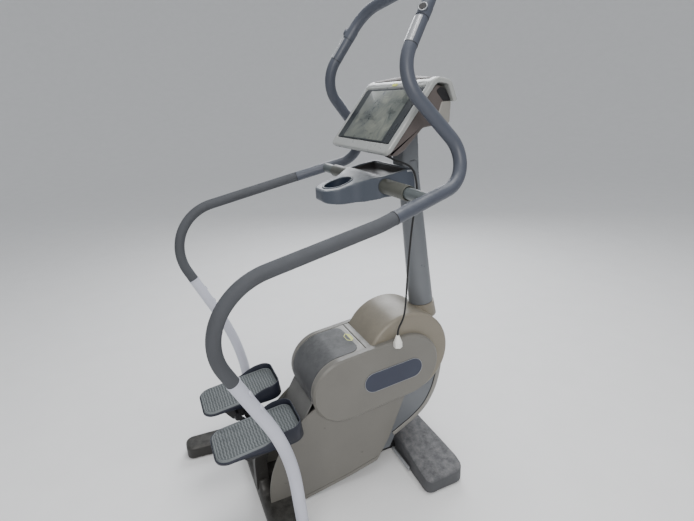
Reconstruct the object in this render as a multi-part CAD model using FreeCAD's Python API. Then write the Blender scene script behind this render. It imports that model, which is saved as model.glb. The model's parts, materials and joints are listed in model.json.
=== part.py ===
import FreeCAD, Part

import math
import os

os.makedirs("parts", exist_ok=True)

# Stair climber with two independent pedals. Millimetres.
# +X is the user's right, +Y is forward (towards the column), +Z is up, the floor is z = 0.

V = FreeCAD.Vector

# ---------------------------------------------------------------- driving dimensions
# pedal mechanism, seen from the side as (y, z)
PIVOT_Y, PIVOT_Z = -16, 70            # arm pivot shaft
PEDAL_PIN_Y, PEDAL_PIN_Z = -277, 352  # pin of the pedal carrier with the pedal at the top
LINK_DY, LINK_DZ = -45, 10            # parallel link pins, from the arm pins
ARM_X0, ARM_X1 = 44, 64               # arm, side to side
LINK_X0, LINK_X1 = 27, 37             # parallel link, side to side
CARRIER_X0, CARRIER_X1 = 70, 80       # upright plate of the pedal carrier
CARRIER_OUT = 214                     # outer edge of the carrier deck
SHAFT_R, CARRIER_PIN_R, LINK_PIN_R = 10, 8, 6
FIT = 0.05                            # radial running clearance
LINK_PLAY = 0.5                       # radial play at the pedal end of the parallel link
PEDAL_X = 136.5                       # middle of a pedal
PEDAL_W, PEDAL_L = 182, 303
PEDAL_FRONT = 144                     # pedal front edge, ahead of the pedal pin
PEDAL_TILT = 7                        # toe up, degrees
TREAD_Z = 61                          # tread surface above the pedal pin
HEEL_R, TOE_R = 47, 42
RIB_COUNT, RIB_PITCH, RIB_WIDTH = 24, 11, 6

# casing
PANEL_X = 108                         # outer face of a side panel
PANEL_WALL = 5
EDGE_R = 391                          # rear edge arc of a side panel, the pedals' own sweep
DRUM_Y, DRUM_Z, DRUM_R, DRUM_X = 335, 517, 178, 112
CAPSULE_X = 137                       # face of the long round-ended side cover
CAPSULE_R = 130
CAPSULE_REAR, CAPSULE_FRONT = (56, 458), (323, 487)
HOOD_R = 129                          # rear corner of the hood, flush with the side covers
HOOD_TILT = 6.2                       # top of the hood rises forward, degrees

# column and console
COLUMN_FOOT = V(0, 457, 686)
COLUMN_HEAD = V(0, 391, 1300)
COLUMN_R0, COLUMN_R1 = 49, 37
MAST_R = 25
CONSOLE_X = 222
CUP_R, CUP_BORE, CUP_Y, CUP_FLOOR = 52.5, 48, 118, 1156
CONSOLE_LOW = V(0, 187, 1314)
CONSOLE_TOP = V(0, 354, 1518)

# handrails: bend points of the right-hand centre line and the bend radii
RAIL_R = 20
RAIL_BORE = 17
RAIL = [
    V(352, -205, 57), V(372, -232, 490), V(452, -490, 1048), V(434, 58, 1159),
    V(356, 438, 1248), V(288, 198, 1534), V(232, 352, 1770), V(0, 423, 1818),
]
BENDS = [0, 800, 185, 190, 95, 123, 120, 170]
SENSOR_FACING = V(0.33, -0.94, 0)     # hand sensor plates face back and a little outwards
THUMB_FACING = V(0.62, -0.78, 0)      # thumb buttons face back and outwards
CROSS_Y, CROSS_Z = 230, 1199
CROSS_R = 18.5
THUMB_R = 10

# shafts inside the casing, as (y, z)
LAY_Y, LAY_Z = 100, 330
FLY_Y, FLY_Z, FLY_R = 300, 495, 105
FLY_SHAFT_R = 8
ARM_PULLEY_R, CLUTCH_R, LAY_PULLEY_R, FLY_PULLEY_R = 48, 20, 80, 18
BELT_GAP, BELT_THICK = 0.4, 3

FLOOR_GAP = 5                         # casing above the floor
BEAM_Z0, BEAM_Z1 = 14, 38             # steel floor beams
BAR_TOP = 46                          # top of the rear crossbar cover
FEET = [(358, -470), (250, 380)]      # (x, y) of the levelling feet on the right-hand side
STUD_R = 5                            # levelling screws

# curved steel upright from the floor beam to the mast, as (y, z) and corner radius, and its bore
UPRIGHT = [(200, 38), (250, 38), (287, 133, 60), (425, 197, 100), (488, 333, 200), (496, 640),
           (444, 640), (436, 345, 150), (388, 240, 60), (249, 178, 110)]
UPRIGHT_HOLLOW = [(204, 37), (246, 37), (284, 136, 57), (422, 200, 97), (484, 334, 196), (492, 641),
                  (448, 641), (440, 344, 154), (391, 237, 63), (252, 175, 113)]


# ---------------------------------------------------------------- helpers
def save(name, shape):
    if not shape.isValid():
        raise RuntimeError(name + " is not a valid shape")
    shape.exportStep("parts/" + name + ".step")
    print(name, len(shape.Solids), "solids", round(shape.Volume / 1000), "cm3")


def group(shapes):
    return Part.Compound(shapes)


def mirrored(shape):
    return shape.mirror(V(0, 0, 0), V(1, 0, 0))


def both_sides(shape):
    return group([shape, mirrored(shape)])


def save_pair(name, shape):
    save(name + "_right", shape)
    save(name + "_left", mirrored(shape))


def box(x0, x1, y0, y1, z0, z1):
    return Part.makeBox(x1 - x0, y1 - y0, z1 - z0, V(x0, y0, z0))


def rod_x(radius, x0, x1, y, z):
    return Part.makeCylinder(radius, x1 - x0, V(x0, y, z), V(1, 0, 0))


def ring_x(outer, inner, x0, x1, y, z):
    return rod_x(outer, x0, x1, y, z).cut(rod_x(inner, x0 - 1, x1 + 1, y, z))


def rod_z(radius, x, y, z0, z1):
    return Part.makeCylinder(radius, z1 - z0, V(x, y, z0))


def corner(before, here, after, radius):
    """Start, middle and end of the arc that rounds a corner, and None for a sharp one."""
    into = (before - here).normalize()
    away = (after - here).normalize()
    turn = math.pi - into.getAngle(away)
    if radius <= 0 or turn < 1e-4:
        return None
    reach = radius * math.tan(turn / 2)
    bisector = (into + away).normalize()
    centre = here + bisector * (radius / math.cos(turn / 2))
    return here + into * reach, centre - bisector * radius, here + away * reach


def chain(points, radii, closed):
    """Straight runs joined by tangent arcs."""
    count = len(points)
    arcs = []
    for i in range(count):
        if not closed and i in (0, count - 1):
            arcs.append(None)
        else:
            arcs.append(corner(points[i - 1], points[i], points[(i + 1) % count], radii[i]))
    edges = []
    for i in range(count if closed else count - 1):
        here, after = arcs[i], arcs[(i + 1) % count]
        start = here[2] if here else points[i]
        end = after[0] if after else points[(i + 1) % count]
        if start.distanceToPoint(end) > 1e-3:
            edges.append(Part.LineSegment(start, end).toShape())
        if after and (closed or i < count - 2):
            edges.append(Part.Arc(*after).toShape())
    return Part.Wire(edges)


def outline(corners, place):
    """Closed outline from (u, v) or (u, v, radius) corners."""
    points = [place(c[0], c[1]) for c in corners]
    radii = [c[2] if len(c) > 2 else 0 for c in corners]
    return Part.Face(chain(points, radii, True))


def side_prism(corners, x0, x1):
    """Outline in (y, z), drawn out along X."""
    return outline(corners, lambda y, z: V(x0, y, z)).extrude(V(x1 - x0, 0, 0))


def plan_prism(corners, z0, z1):
    """Outline in (x, y), drawn out along Z."""
    return outline(corners, lambda x, y: V(x, y, z0)).extrude(V(0, 0, z1 - z0))


def front_prism(corners, y0, y1):
    """Outline in (x, z), drawn out along Y."""
    return outline(corners, lambda x, z: V(x, y0, z)).extrude(V(0, y1 - y0, 0))


def sweep(points, radii, radius):
    wire = chain(points, radii, False)
    heading = points[1] - points[0]
    ring = Part.Wire(Part.makeCircle(radius, points[0], heading))
    return wire.makePipeShell([ring], True, False)


def tube(points, radii, outer, inner):
    return sweep(points, radii, outer).cut(sweep(points, radii, inner))


def stadium(radius, x0, x1, start, end):
    """Bar with round ends about start and end, each (y, z)."""
    dy, dz = end[0] - start[0], end[1] - start[1]
    length = math.hypot(dy, dz)
    ny, nz = -dz / length * radius, dy / length * radius
    bar = side_prism([(start[0] + ny, start[1] + nz), (end[0] + ny, end[1] + nz),
                      (end[0] - ny, end[1] - nz), (start[0] - ny, start[1] - nz)], x0, x1)
    return bar.fuse([rod_x(radius, x0, x1, *start), rod_x(radius, x0, x1, *end)]).removeSplitter()


def along(start, end, distance):
    return start + (end - start).normalize() * distance


# ---------------------------------------------------------------- frame and floor parts
def make_frame():
    beam = box(-20, 20, -185, 350, BEAM_Z0, BEAM_Z1)
    beam = beam.cut(box(-17, 17, -186, 351, BEAM_Z0 + 3, BEAM_Z1 - 3))
    plate = [(-95, 16), (-95, 105, 20), (-30, 140, 40), (40, 380, 40), (220, 570, 30),
             (395, 570, 20), (405, 420, 20), (360, 240, 60), (270, 120, 30), (250, 16)]
    plates = both_sides(side_prism(plate, 20, 26))
    upright = side_prism(UPRIGHT, -28, 28)
    upright = upright.cut(side_prism(UPRIGHT_HOLLOW, -25, 25))
    frame = beam.fuse([plates, upright])
    for y, z, radius in ((PIVOT_Y, PIVOT_Z, SHAFT_R), (LAY_Y, LAY_Z, SHAFT_R), (FLY_Y, FLY_Z, FLY_SHAFT_R),
                         (PIVOT_Y + LINK_DY, PIVOT_Z + LINK_DZ, LINK_PIN_R)):
        frame = frame.cut(rod_x(radius + FIT, -40, 40, y, z))
    save("main_frame", frame)
    leg = plan_prism([(322, -245), (372, -245), (384, -500), (334, -500)], BEAM_Z0, BEAM_Z1 + 12)
    rear = box(-372, 372, -245, -185, BEAM_Z0, BEAM_Z1).fuse([leg, mirrored(leg)])
    for x, y in FEET:
        rear = rear.cut(rod_z(STUD_R + FIT, x, y, 10, 30))
        rear = rear.cut(rod_z(STUD_R + FIT, -x, y, 10, 30))
    save("rear_stabiliser", rear)
    front = box(-285, 285, 350, 410, 14, 54).cut(box(-286, 286, 353, 407, 17, 51))
    for x, y in FEET:
        front = front.cut(rod_z(STUD_R + FIT, x, y, 10, 30))
        front = front.cut(rod_z(STUD_R + FIT, -x, y, 10, 30))
    save("front_stabiliser", front)
    axis = COLUMN_HEAD - COLUMN_FOOT
    foot = along(COLUMN_FOOT, COLUMN_HEAD, -44)
    mast = Part.makeCylinder(MAST_R, axis.Length + 180, foot, axis)
    mast = mast.cut(Part.makeCylinder(MAST_R - 3, axis.Length + 180, foot, axis))
    save("mast", mast.cut(box(-30, 30, 400, 500, 600, 641)))


def make_feet():
    pads = []
    studs = []
    for x, y in FEET:
        for side in (1, -1):
            pad = Part.makeCone(22, 18, 8, V(side * x, y, 0))
            pads.append(pad.cut(rod_z(STUD_R, side * x, y, 4, 9)))
            stud = rod_z(STUD_R, side * x, y, 4, 28)
            studs.append(stud.fuse(rod_z(9, side * x, y, 8.5, 13.5)))
    save("foot_pads", group(pads))
    save("foot_studs", group(studs))


def make_floor_covers():
    leg = [(302, -292), (322, -525, 30), (412, -525, 34), (396, -172, 26), (302, -172)]
    outer = plan_prism(leg, FLOOR_GAP, 62)
    outer = outer.makeFillet(16, [e for e in outer.Edges if e.BoundBox.ZMin > 61])
    hollow = [(308, -286), (328, -519, 26), (405, -519, 28), (390, -178, 20), (308, -178)]
    cover = outer.cut(plan_prism(hollow, 0, 57)).cut(box(299, 312, -288, -178, 0, 57))
    cover = cover.cut(sweep(RAIL[:2], [0, 0], RAIL_R + 0.4))
    cover = cover.cut(Part.makeCylinder(RAIL_R + 0.4, 60, V(RAIL[0].x, RAIL[0].y, 20)))
    save("rear_leg_covers", both_sides(cover))
    bar = side_prism([(-294, FLOOR_GAP), (-294, BAR_TOP, 20), (-172, BAR_TOP, 20), (-172, FLOOR_GAP)],
                     -301.7, 301.7)
    hollow = [(-289, 0), (-289, BAR_TOP - 4, 16), (-177, BAR_TOP - 4, 16), (-177, 0)]
    bar = bar.cut(side_prism(hollow, -302, 302))
    save("rear_crossbar_cover", bar.cut(box(-21, 21, -190, -170, 0, BEAM_Z1 + 1)))
    plan = [(0.2, 316), (304, 304, 26), (300, 478, 44), (150, 494, 70), (0.2, 492)]
    across = [(0.2, FLOOR_GAP), (304, FLOOR_GAP), (304, 62, 18), (200, 74, 300), (0.2, 106)]
    along_y = [(300, FLOOR_GAP), (300, 58, 14), (330, 110, 60), (460, 110, 60), (496, 50, 20),
               (496, FLOOR_GAP)]
    foot = plan_prism(plan, FLOOR_GAP, 110)
    foot = foot.common(front_prism(across, 290, 500)).common(side_prism(along_y, 0, 310))
    cavity = box(-1, 296, 322, 440, 0, 57).fuse(box(-1, 180, 322, 470, 0, 70))
    foot = foot.cut(cavity)
    foot = foot.cut(box(-1, 21, 300, 330, 0, BEAM_Z1 + 1))
    save("front_foot_covers", both_sides(foot))


# ---------------------------------------------------------------- casing
FRONT_LEG = [(190, 62), (272, 62), (303, 128, 60), (440, 190, 100), (505, 330, 200), (512, 420),
             (430, 470), (300, 330), (240, 170)]
FRONT_LEG_HOLLOW = [(180, 50), (262, 50), (299, 132, 56), (437, 194, 96), (501, 331, 196), (508, 440),
                    (400, 500), (290, 330), (220, 170)]
FRONT_LEG_X = 60
HOOD = [(-73, 428), (-73, 573.8, HOOD_R), (152, 598.2), (152, 470)]
HOOD_HOLLOW = [(-69, 424), (-69, 570.2, HOOD_R - 4), (155, 594.5), (155, 424)]
PANEL = [
    (-264, FLOOR_GAP), (-264, 300, EDGE_R), (-14, 426), (-64, 430), (-64, 565.7, HOOD_R - 9),
    (150, 588.9), (340, 600), (340, 380), (312, 324, 30), (244, 163, 60), (186, 66, 10), (56, 36, 300),
    (-126, FLOOR_GAP),
]
PANEL_GROOVE = [(-171, 13), (56, 50), (190, 84), (190, 88), (56, 54), (-171, 17)]


def drum(clearance, x0, x1):
    return rod_x(DRUM_R + clearance, x0, x1, DRUM_Y, DRUM_Z)


def make_side_panels():
    panel = side_prism(PANEL, PANEL_X - PANEL_WALL, PANEL_X)
    panel = panel.cut(drum(0.3, 0, 200))
    panel = panel.cut(side_prism(PANEL_GROOVE, PANEL_X - 1.5, PANEL_X + 1))
    panel = panel.cut(box(0, 200, -300, -171.5, 0, BAR_TOP + 0.5))
    save_pair("side_panel", panel)


def make_side_covers():
    outer = stadium(CAPSULE_R, PANEL_X + 0.3, CAPSULE_X, CAPSULE_REAR, CAPSULE_FRONT)
    rim = [e for e in outer.Edges if e.BoundBox.XMin > CAPSULE_X - 0.1]
    outer = outer.makeChamfer(7, rim)
    cover = outer.cut(stadium(CAPSULE_R - 12, PANEL_X, CAPSULE_X - 4, CAPSULE_REAR, CAPSULE_FRONT))
    cover = cover.cut(drum(0.3, 0, DRUM_X + 0.3))
    save_pair("side_cover", cover)


def make_badges():
    """Plain pill badges on the sides, plain hexagon badges on the hood and the console."""
    pill = stadium(42, CAPSULE_X, CAPSULE_X + 2, (171, 461), (337, 476))
    hood = plan_prism([(-34, 0), (-17, -14), (17, -14), (34, 0), (17, 14), (-17, 14)], 0, 2)
    hood.rotate(V(0, 0, 0), V(1, 0, 0), HOOD_TILT)
    hood.translate(V(0, 131, 596.1))
    console = console_plate(16, 247, 255, 0, 2)
    save("badges", group([pill, mirrored(pill), hood, console]))


def make_drum():
    outer = drum(0, 0, DRUM_X)
    rim = [e for e in outer.Edges if e.BoundBox.XMin > DRUM_X - 0.1]
    outer = outer.makeFillet(13, rim)
    shell = outer.cut(drum(-4, -1, DRUM_X - 4))
    shell = shell.cut(box(-1, 104, 100, 345, 300, 512)).cut(side_prism(UPRIGHT, -1, 28.5))
    axis = COLUMN_HEAD - COLUMN_FOOT
    shell = shell.cut(Part.makeCylinder(MAST_R + 0.5, 100, along(COLUMN_FOOT, COLUMN_HEAD, -70), axis))
    shell = shell.cut(side_prism(FRONT_LEG, -1, FRONT_LEG_X + 0.3))
    collar = cone_about_column(58, 53, -60, 58).cut(cone_about_column(53, 48, -60, 58))
    collar = collar.cut(drum(-2, -200, 200)).cut(box(-200, 0, 300, 600, 500, 800))
    save("disc_covers", both_sides(shell.fuse(collar)))


def make_hood():
    band = side_prism(HOOD, -PANEL_X, PANEL_X)
    save("rear_hood", band.cut(side_prism(HOOD_HOLLOW, -200, 200)))
    saddle = side_prism([(152.5, 560), (152.5, 599, 4), (215, 600), (215, 560)], -PANEL_X, PANEL_X)
    saddle = saddle.cut(side_prism([(150, 550), (150, 595), (220, 596), (220, 550)], -PANEL_X + 10,
                                   PANEL_X - 10))
    saddle = saddle.cut(drum(0.4, -200, 200))
    save("saddle_cover", saddle.cut(side_prism(PANEL, -200, 200)))


def make_rear_cover():
    """Sloping cover between the panels, and the spine between the two arm slots."""
    slope = side_prism([(-73, 427), (-67, 427), (-110, 350), (-163, 296), (-168, 300), (-116, 354)],
                       -PANEL_X + PANEL_WALL + 0.5, PANEL_X - PANEL_WALL - 0.5)
    foot = BAR_TOP + 0.5
    back = [(-166, 302), (-250, 268, 60), (-292, 200, 120), (-296, foot), (-246, foot), (-246, 190, 120),
            (-200, 250, 60), (-140, 300)]
    spine = side_prism(back, -22, 22)
    hollow = [(-172, 296), (-246, 262, 56), (-288, 198, 116), (-292, foot - 2), (-240, foot - 2),
              (-240, 190, 120), (-195, 250, 60), (-150, 290)]
    spine = spine.cut(side_prism(hollow, -18, 18))
    save("rear_cover", slope.fuse(spine))


def make_front_leg():
    outer = side_prism(FRONT_LEG, -FRONT_LEG_X, FRONT_LEG_X)
    inner = side_prism(FRONT_LEG_HOLLOW, -FRONT_LEG_X + 4, FRONT_LEG_X - 4)
    save("front_leg_cover", outer.cut(inner).cut(drum(0.3, -200, 200)))


def cone_about_column(radius0, radius1, start, length):
    axis = COLUMN_HEAD - COLUMN_FOOT
    return Part.makeCone(radius0, radius1, length, along(COLUMN_FOOT, COLUMN_HEAD, start), axis)


def make_column():
    length = (COLUMN_HEAD - COLUMN_FOOT).Length - 46
    shell = cone_about_column(COLUMN_R0, COLUMN_R1, 0, length)
    shell = shell.cut(cone_about_column(COLUMN_R0 - 4, COLUMN_R1 - 4, 0, length))
    save("column_shell", shell.cut(box(-25.5, 25.5, 300, 392, CROSS_Z - 15.5, CROSS_Z + 15.5)))


# ---------------------------------------------------------------- console and tray
def console_plate(half_width, low, high, depth0, depth1):
    """Flat piece on the console face: low and high run up the face, depth runs out of it."""
    up = (CONSOLE_TOP - CONSOLE_LOW).normalize()
    out = V(0, -up.z, up.y)
    start = CONSOLE_LOW + up * low + out * depth0
    end = CONSOLE_LOW + up * high + out * depth0
    corners = [V(sx * half_width, p.y, p.z) for sx, p in ((-1, start), (1, start), (1, end), (-1, end))]
    face = Part.Face(Part.makePolygon(corners + corners[:1]))
    return face.extrude(out * (depth1 - depth0))


BEZEL = [
    (187, 1314, 3), (354, 1518, 12), (376, 1530, 20), (424, 1520, 30), (449, 1457, 5), (436, 1452, 3),
    (414, 1504, 22), (378, 1514, 12), (366, 1506, 6), (202, 1300, 8),
]
CONSOLE_BODY = [
    (205.5, 1303), (366, 1499, 4), (378, 1508, 10), (410, 1497, 20), (431, 1452, 14), (428, 1388, 12),
    (334, 1379, 20), (267, 1315, 20), (240, 1300, 10),
]


def make_console():
    rim = side_prism(BEZEL, -CONSOLE_X, CONSOLE_X)
    opening = console_plate(194, 36, 246, -30, 10)
    rim = rim.cut(opening)
    save("console_bezel", rim.cut(box(-190, 190, 372, 500, 1440, 1540)))
    save("console_glass", console_plate(193.7, 36.3, 245.7, -12, -3))
    body = side_prism(CONSOLE_BODY, -206, 206)
    top = side_prism([(372.5, 1514), (378, 1521, 8), (418, 1512, 26), (440, 1457), (428, 1457),
                      (407, 1494, 18), (378, 1504, 8)], -189.7, 189.7)
    cavity = side_prism([(224, 1307), (366, 1482), (400, 1485, 14), (422, 1450, 8), (421, 1394, 8),
                         (331, 1385, 16), (263, 1320, 16), (240, 1307, 6)], -200, 200)
    axis = COLUMN_HEAD - COLUMN_FOOT
    hole = Part.makeCylinder(MAST_R + 0.3, 210, along(COLUMN_FOOT, COLUMN_HEAD, 560), axis)
    shell = body.fuse(top).cut(cavity).cut(hole).cut(gland(0.2))
    save("console_shell", shell.cut(console_plate(194, 36, 246, -16, 10)))
    plan = [(-40, 354, 10), (40, 354, 10), (30, 440, 24), (-30, 440, 24)]
    neck = side_prism([(354, 1188), (354, 1400), (419, 1400), (420, 1378), (428, 1240), (430, 1188)], -60, 60)
    neck = neck.common(plan_prism(plan, 1180, 1410))
    neck = neck.cut(side_prism(CONSOLE_BODY, -300, 300))
    neck = neck.cut(cone_about_column(COLUMN_R0 + 0.3, COLUMN_R1 + 0.3, 0, axis.Length - 46))
    save("neck_cover", neck.cut(hole).cut(box(-27, 27, 300, 400, 1170, 1214)))


def make_tray():
    side = [(44, 1146, 14), (46, 1187, 10), (95, 1196, 40), (212, 1229, 60), (341, 1249, 14),
            (353, 1205, 30), (353, 1166, 14), (300, 1160, 30), (225, 1160, 30), (172, 1146, 30),
            (110, 1142, 30)]
    plan = [(-74, 46, 60), (74, 46, 60), (84, 150, 60), (138, 214, 30), (138, 353, 10), (-138, 353, 10),
            (-138, 214, 30), (-84, 150, 60)]
    body = side_prism(side, -140, 140)
    compartment = [(228, 1300), (228, 1224), (236, 1219), (326, 1219), (326, 1300)]
    tray = body.common(plan_prism(plan, 1100, 1300)).cut(side_prism(compartment, -124, 124))
    tray = tray.cut(rod_z(CUP_R + 0.3, 0, CUP_Y, CUP_FLOOR - 4, 1300))
    tray = tray.cut(rod_x(CROSS_R + 0.3, -200, 200, CROSS_Y, CROSS_Z))
    save("tray", tray.cut(box(-26, 26, CROSS_Y, 400, CROSS_Z - 16, CROSS_Z + 16)))
    cup = rod_z(CUP_R, 0, CUP_Y, CUP_FLOOR - 3.7, 1300).cut(rod_z(CUP_BORE, 0, CUP_Y, CUP_FLOOR, 1300))
    save("cup_liner", cup.common(body))


def make_cross_tube():
    cross = rod_x(CROSS_R, -392, 392, CROSS_Y, CROSS_Z)
    collar = rod_x(CROSS_R + 3, 138.5, 224, CROSS_Y, CROSS_Z)
    strut = box(-25, 25, CROSS_Y, 400, CROSS_Z - 15, CROSS_Z + 15)
    cross = cross.fuse([collar, mirrored(collar), strut])
    axis = COLUMN_HEAD - COLUMN_FOOT
    cross = cross.cut(Part.makeCylinder(MAST_R, 700, along(COLUMN_FOOT, COLUMN_HEAD, 0), axis))
    rail = sweep([RAIL_SEAM] + RAIL[4:5] + [RAIL[5]], [0, BENDS[4], 0], RAIL_R + 0.3)
    save("cross_tube", cross.cut(rail).cut(mirrored(rail)).Solids[0])


# ---------------------------------------------------------------- handrails
RAIL_JOINT = along(RAIL[1], RAIL[2], 340)     # painted tube meets the foam sleeve
RAIL_SEAM = along(RAIL[3], RAIL[4], 48)       # foam sleeve meets the upper sleeve
SENSOR_START = along(RAIL[5], RAIL[6], 95)
SENSOR_END = along(RAIL[5], RAIL[6], 180)
GRIP_END = along(RAIL[5], RAIL[6], 214)


def square_to_grip(direction):
    """The part of a direction that is square to the upper grip."""
    heading = (RAIL[6] - RAIL[5]).normalize()
    return (direction - heading * direction.dot(heading)).normalize()


def sensor_plate():
    """Curved plate let into the quarter of the grip that the palm rests on."""
    out = square_to_grip(SENSOR_FACING)
    heading = (RAIL[6] - RAIL[5]).normalize()
    across = heading.cross(out)
    low, high = out * (0.7 * RAIL_R), out * (2 * RAIL_R)
    start = SENSOR_START
    corners = [start + low - across * 30, start + low + across * 30,
               start + high + across * 30, start + high - across * 30]
    quarter = Part.Face(Part.makePolygon(corners + corners[:1])).extrude(SENSOR_END - start - heading * 6)
    return tube([start, SENSOR_END], [0, 0], RAIL_R + 0.6, RAIL_R - 1.4).common(quarter)


def make_handrails():
    save_pair("handrail_lower", tube([RAIL[0], RAIL[1], RAIL_JOINT], [0, BENDS[1], 0], RAIL_R, RAIL_BORE))
    foam = tube([RAIL_JOINT, RAIL[2], RAIL[3], RAIL_SEAM], [0, BENDS[2], BENDS[3], 0],
                RAIL_R - 0.5, RAIL_BORE)
    save_pair("handrail_foam", foam)
    upper = tube([RAIL_SEAM, RAIL[4], RAIL[5], SENSOR_END], [0, BENDS[4], BENDS[5], 0],
                 RAIL_R, RAIL_BORE)
    sensor = sensor_plate()
    save_pair("handrail_upper", upper.cut(sensor))
    save("hand_sensors", both_sides(sensor))
    far = [V(-p.x, p.y, p.z) for p in (RAIL[6], GRIP_END)]
    arch = tube([GRIP_END, RAIL[6], RAIL[7]] + far, [0, BENDS[6], BENDS[7], BENDS[6], 0], RAIL_R, RAIL_BORE)
    save("handrail_arch", arch)


def make_thumb_controls():
    """Round push button in a low boss on each grip."""
    out = square_to_grip(THUMB_FACING)
    middle = (SENSOR_END + GRIP_END) * 0.5
    sleeve = tube([SENSOR_END, GRIP_END], [0, 0], RAIL_R + 0.8, RAIL_BORE)
    boss = Part.makeCylinder(14, 24, middle, out)
    well = Part.makeCylinder(THUMB_R + 0.4, 30, middle + out * 17.5, out)
    housing = sleeve.fuse(boss).cut(well).cut(sweep([SENSOR_END, GRIP_END], [0, 0], RAIL_BORE))
    save("thumb_housings", both_sides(housing))
    save_pair("thumb_button", Part.makeCylinder(THUMB_R, 5.5, middle + out * 19.5, out))
    print("thumb button faces", out, "from", middle)


# ---------------------------------------------------------------- pedals and drive
def pedal_space(shape):
    """Puts a shape drawn with the pedal pin as (0, 0) in (y, z) in its place, toe up."""
    shape.rotate(V(0, 0, 0), V(1, 0, 0), PEDAL_TILT)
    shape.translate(V(0, PEDAL_PIN_Y, PEDAL_PIN_Z))
    return shape


def pedal_plan(inset):
    """Pedal outline seen from above: square toe with round corners, rounder heel."""
    x0, x1 = PEDAL_X - PEDAL_W / 2 + inset, PEDAL_X + PEDAL_W / 2 - inset
    y1 = PEDAL_FRONT - inset
    y0 = PEDAL_FRONT - PEDAL_L + inset
    heel, toe = HEEL_R - inset, TOE_R - inset
    return [(x0, y0, heel), (x1, y0, heel), (x1, y1, toe), (x0, y1, toe)]


def make_pedals():
    front = PEDAL_FRONT + 1
    heel = PEDAL_FRONT - PEDAL_L - 1
    guard = [(-10, TREAD_Z - 14), (20, TREAD_Z + 2, 30), (90, TREAD_Z + 22, 40), (front, TREAD_Z + 22),
             (front, TREAD_Z - 14)]
    skirt = [(heel, TREAD_Z - 14, 4), (-60, TREAD_Z - 20, 60), (front, TREAD_Z - 42),
             (front, TREAD_Z - 4), (heel, TREAD_Z - 4)]
    whole = plan_prism(pedal_plan(0), -20, 120)
    shell = whole.common(side_prism(guard, 40, 240).fuse(side_prism(skirt, 40, 240)))
    shell = shell.cut(plan_prism(pedal_plan(4), TREAD_Z - 9, 130))
    shell = shell.cut(plan_prism(pedal_plan(5), -30, TREAD_Z - 14))
    save_pair("pedal", pedal_space(shell))
    pad = plan_prism(pedal_plan(4.3), TREAD_Z - 9, TREAD_Z - 2)
    rib_field = plan_prism(pedal_plan(8), TREAD_Z - 3, TREAD_Z)
    half_rib = PEDAL_W / 2 - 14
    ribs = []
    for i in range(RIB_COUNT):
        y = PEDAL_FRONT - PEDAL_L + 22 + i * RIB_PITCH
        rib = box(PEDAL_X - half_rib, PEDAL_X + half_rib, y, y + RIB_WIDTH, TREAD_Z - 3, TREAD_Z)
        ribs.append(rib.common(rib_field))
    save_pair("tread", pedal_space(pad.fuse(ribs)))
    deck_z = TREAD_Z - 19.5
    deck = box(CARRIER_X0, CARRIER_OUT, -92, 92, deck_z, TREAD_Z - 14.3)
    plate = [(-62, -14, 12), (24, -14, 20), (92, deck_z), (-92, deck_z), (-80, 20, 20)]
    carrier = deck.fuse(side_prism(plate, CARRIER_X0, CARRIER_X1))
    rib = side_prism([(-60, 12, 10), (40, 12, 10), (80, deck_z), (-80, deck_z)],
                     CARRIER_OUT - 10, CARRIER_OUT - 6)
    carrier = pedal_space(carrier.fuse(rib))
    pins = [rod_x(CARRIER_PIN_R, ARM_X0 - 2, CARRIER_X0, PEDAL_PIN_Y, PEDAL_PIN_Z),
            rod_x(LINK_PIN_R, LINK_X0 - 1, CARRIER_X0, PEDAL_PIN_Y + LINK_DY, PEDAL_PIN_Z + LINK_DZ)]
    save_pair("pedal_carrier", carrier.fuse(pins).removeSplitter())


def lever(x0, x1, start, end, half_height, hub, bore0, bore1):
    """Flat bar with a round hub at each end; start and end are (y, z)."""
    bar = stadium(half_height, x0, x1, start, end)
    bar = bar.fuse([rod_x(hub, x0, x1, *start), rod_x(hub, x0, x1, *end)])
    bar = bar.cut(rod_x(bore0, x0 - 1, x1 + 1, *start))
    return bar.cut(rod_x(bore1, x0 - 1, x1 + 1, *end))


def make_arms():
    pivot = (PIVOT_Y, PIVOT_Z)
    pin = (PEDAL_PIN_Y, PEDAL_PIN_Z)
    bore = SHAFT_R + FIT
    arm = lever(ARM_X0, ARM_X1, pivot, pin, 15, 20, bore, CARRIER_PIN_R + FIT)
    pulley = ring_x(ARM_PULLEY_R, bore, 68, 80, *pivot).fuse(ring_x(20, bore, ARM_X1 - 1, 68.5, *pivot))
    save_pair("pedal_arm", arm.fuse(pulley).removeSplitter())
    link = lever(LINK_X0, LINK_X1, (PIVOT_Y + LINK_DY, PIVOT_Z + LINK_DZ),
                 (PEDAL_PIN_Y + LINK_DY, PEDAL_PIN_Z + LINK_DZ), 8, 13, LINK_PIN_R + FIT,
                 LINK_PIN_R + LINK_PLAY)
    save_pair("parallel_link", link)
    shaft = rod_x(SHAFT_R, -84, 84, *pivot)
    stub = rod_x(LINK_PIN_R, -39, 39, PIVOT_Y + LINK_DY, PIVOT_Z + LINK_DZ)
    save("pivot_shaft", group([shaft, stub]))


def belt(x0, x1, wheel0, wheel1, gap, thick):
    """Closed belt round two wheels, each (y, z, radius)."""
    (ya, za, ra), (yb, zb, rb) = wheel0, wheel1

    def band(extra):
        r0, r1 = ra + extra, rb + extra
        span = math.hypot(yb - ya, zb - za)
        lean = math.atan2(zb - za, yb - ya)
        spread = math.acos((r0 - r1) / span)
        corners = []
        for y, z, r, sign in ((ya, za, r0, 1), (yb, zb, r1, 1), (yb, zb, r1, -1), (ya, za, r0, -1)):
            angle = lean + sign * spread
            corners.append((y + r * math.cos(angle), z + r * math.sin(angle)))
        return side_prism(corners, x0, x1).fuse([rod_x(r0, x0, x1, ya, za), rod_x(r1, x0, x1, yb, zb)])

    return band(gap + thick).cut(band(gap))


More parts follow.
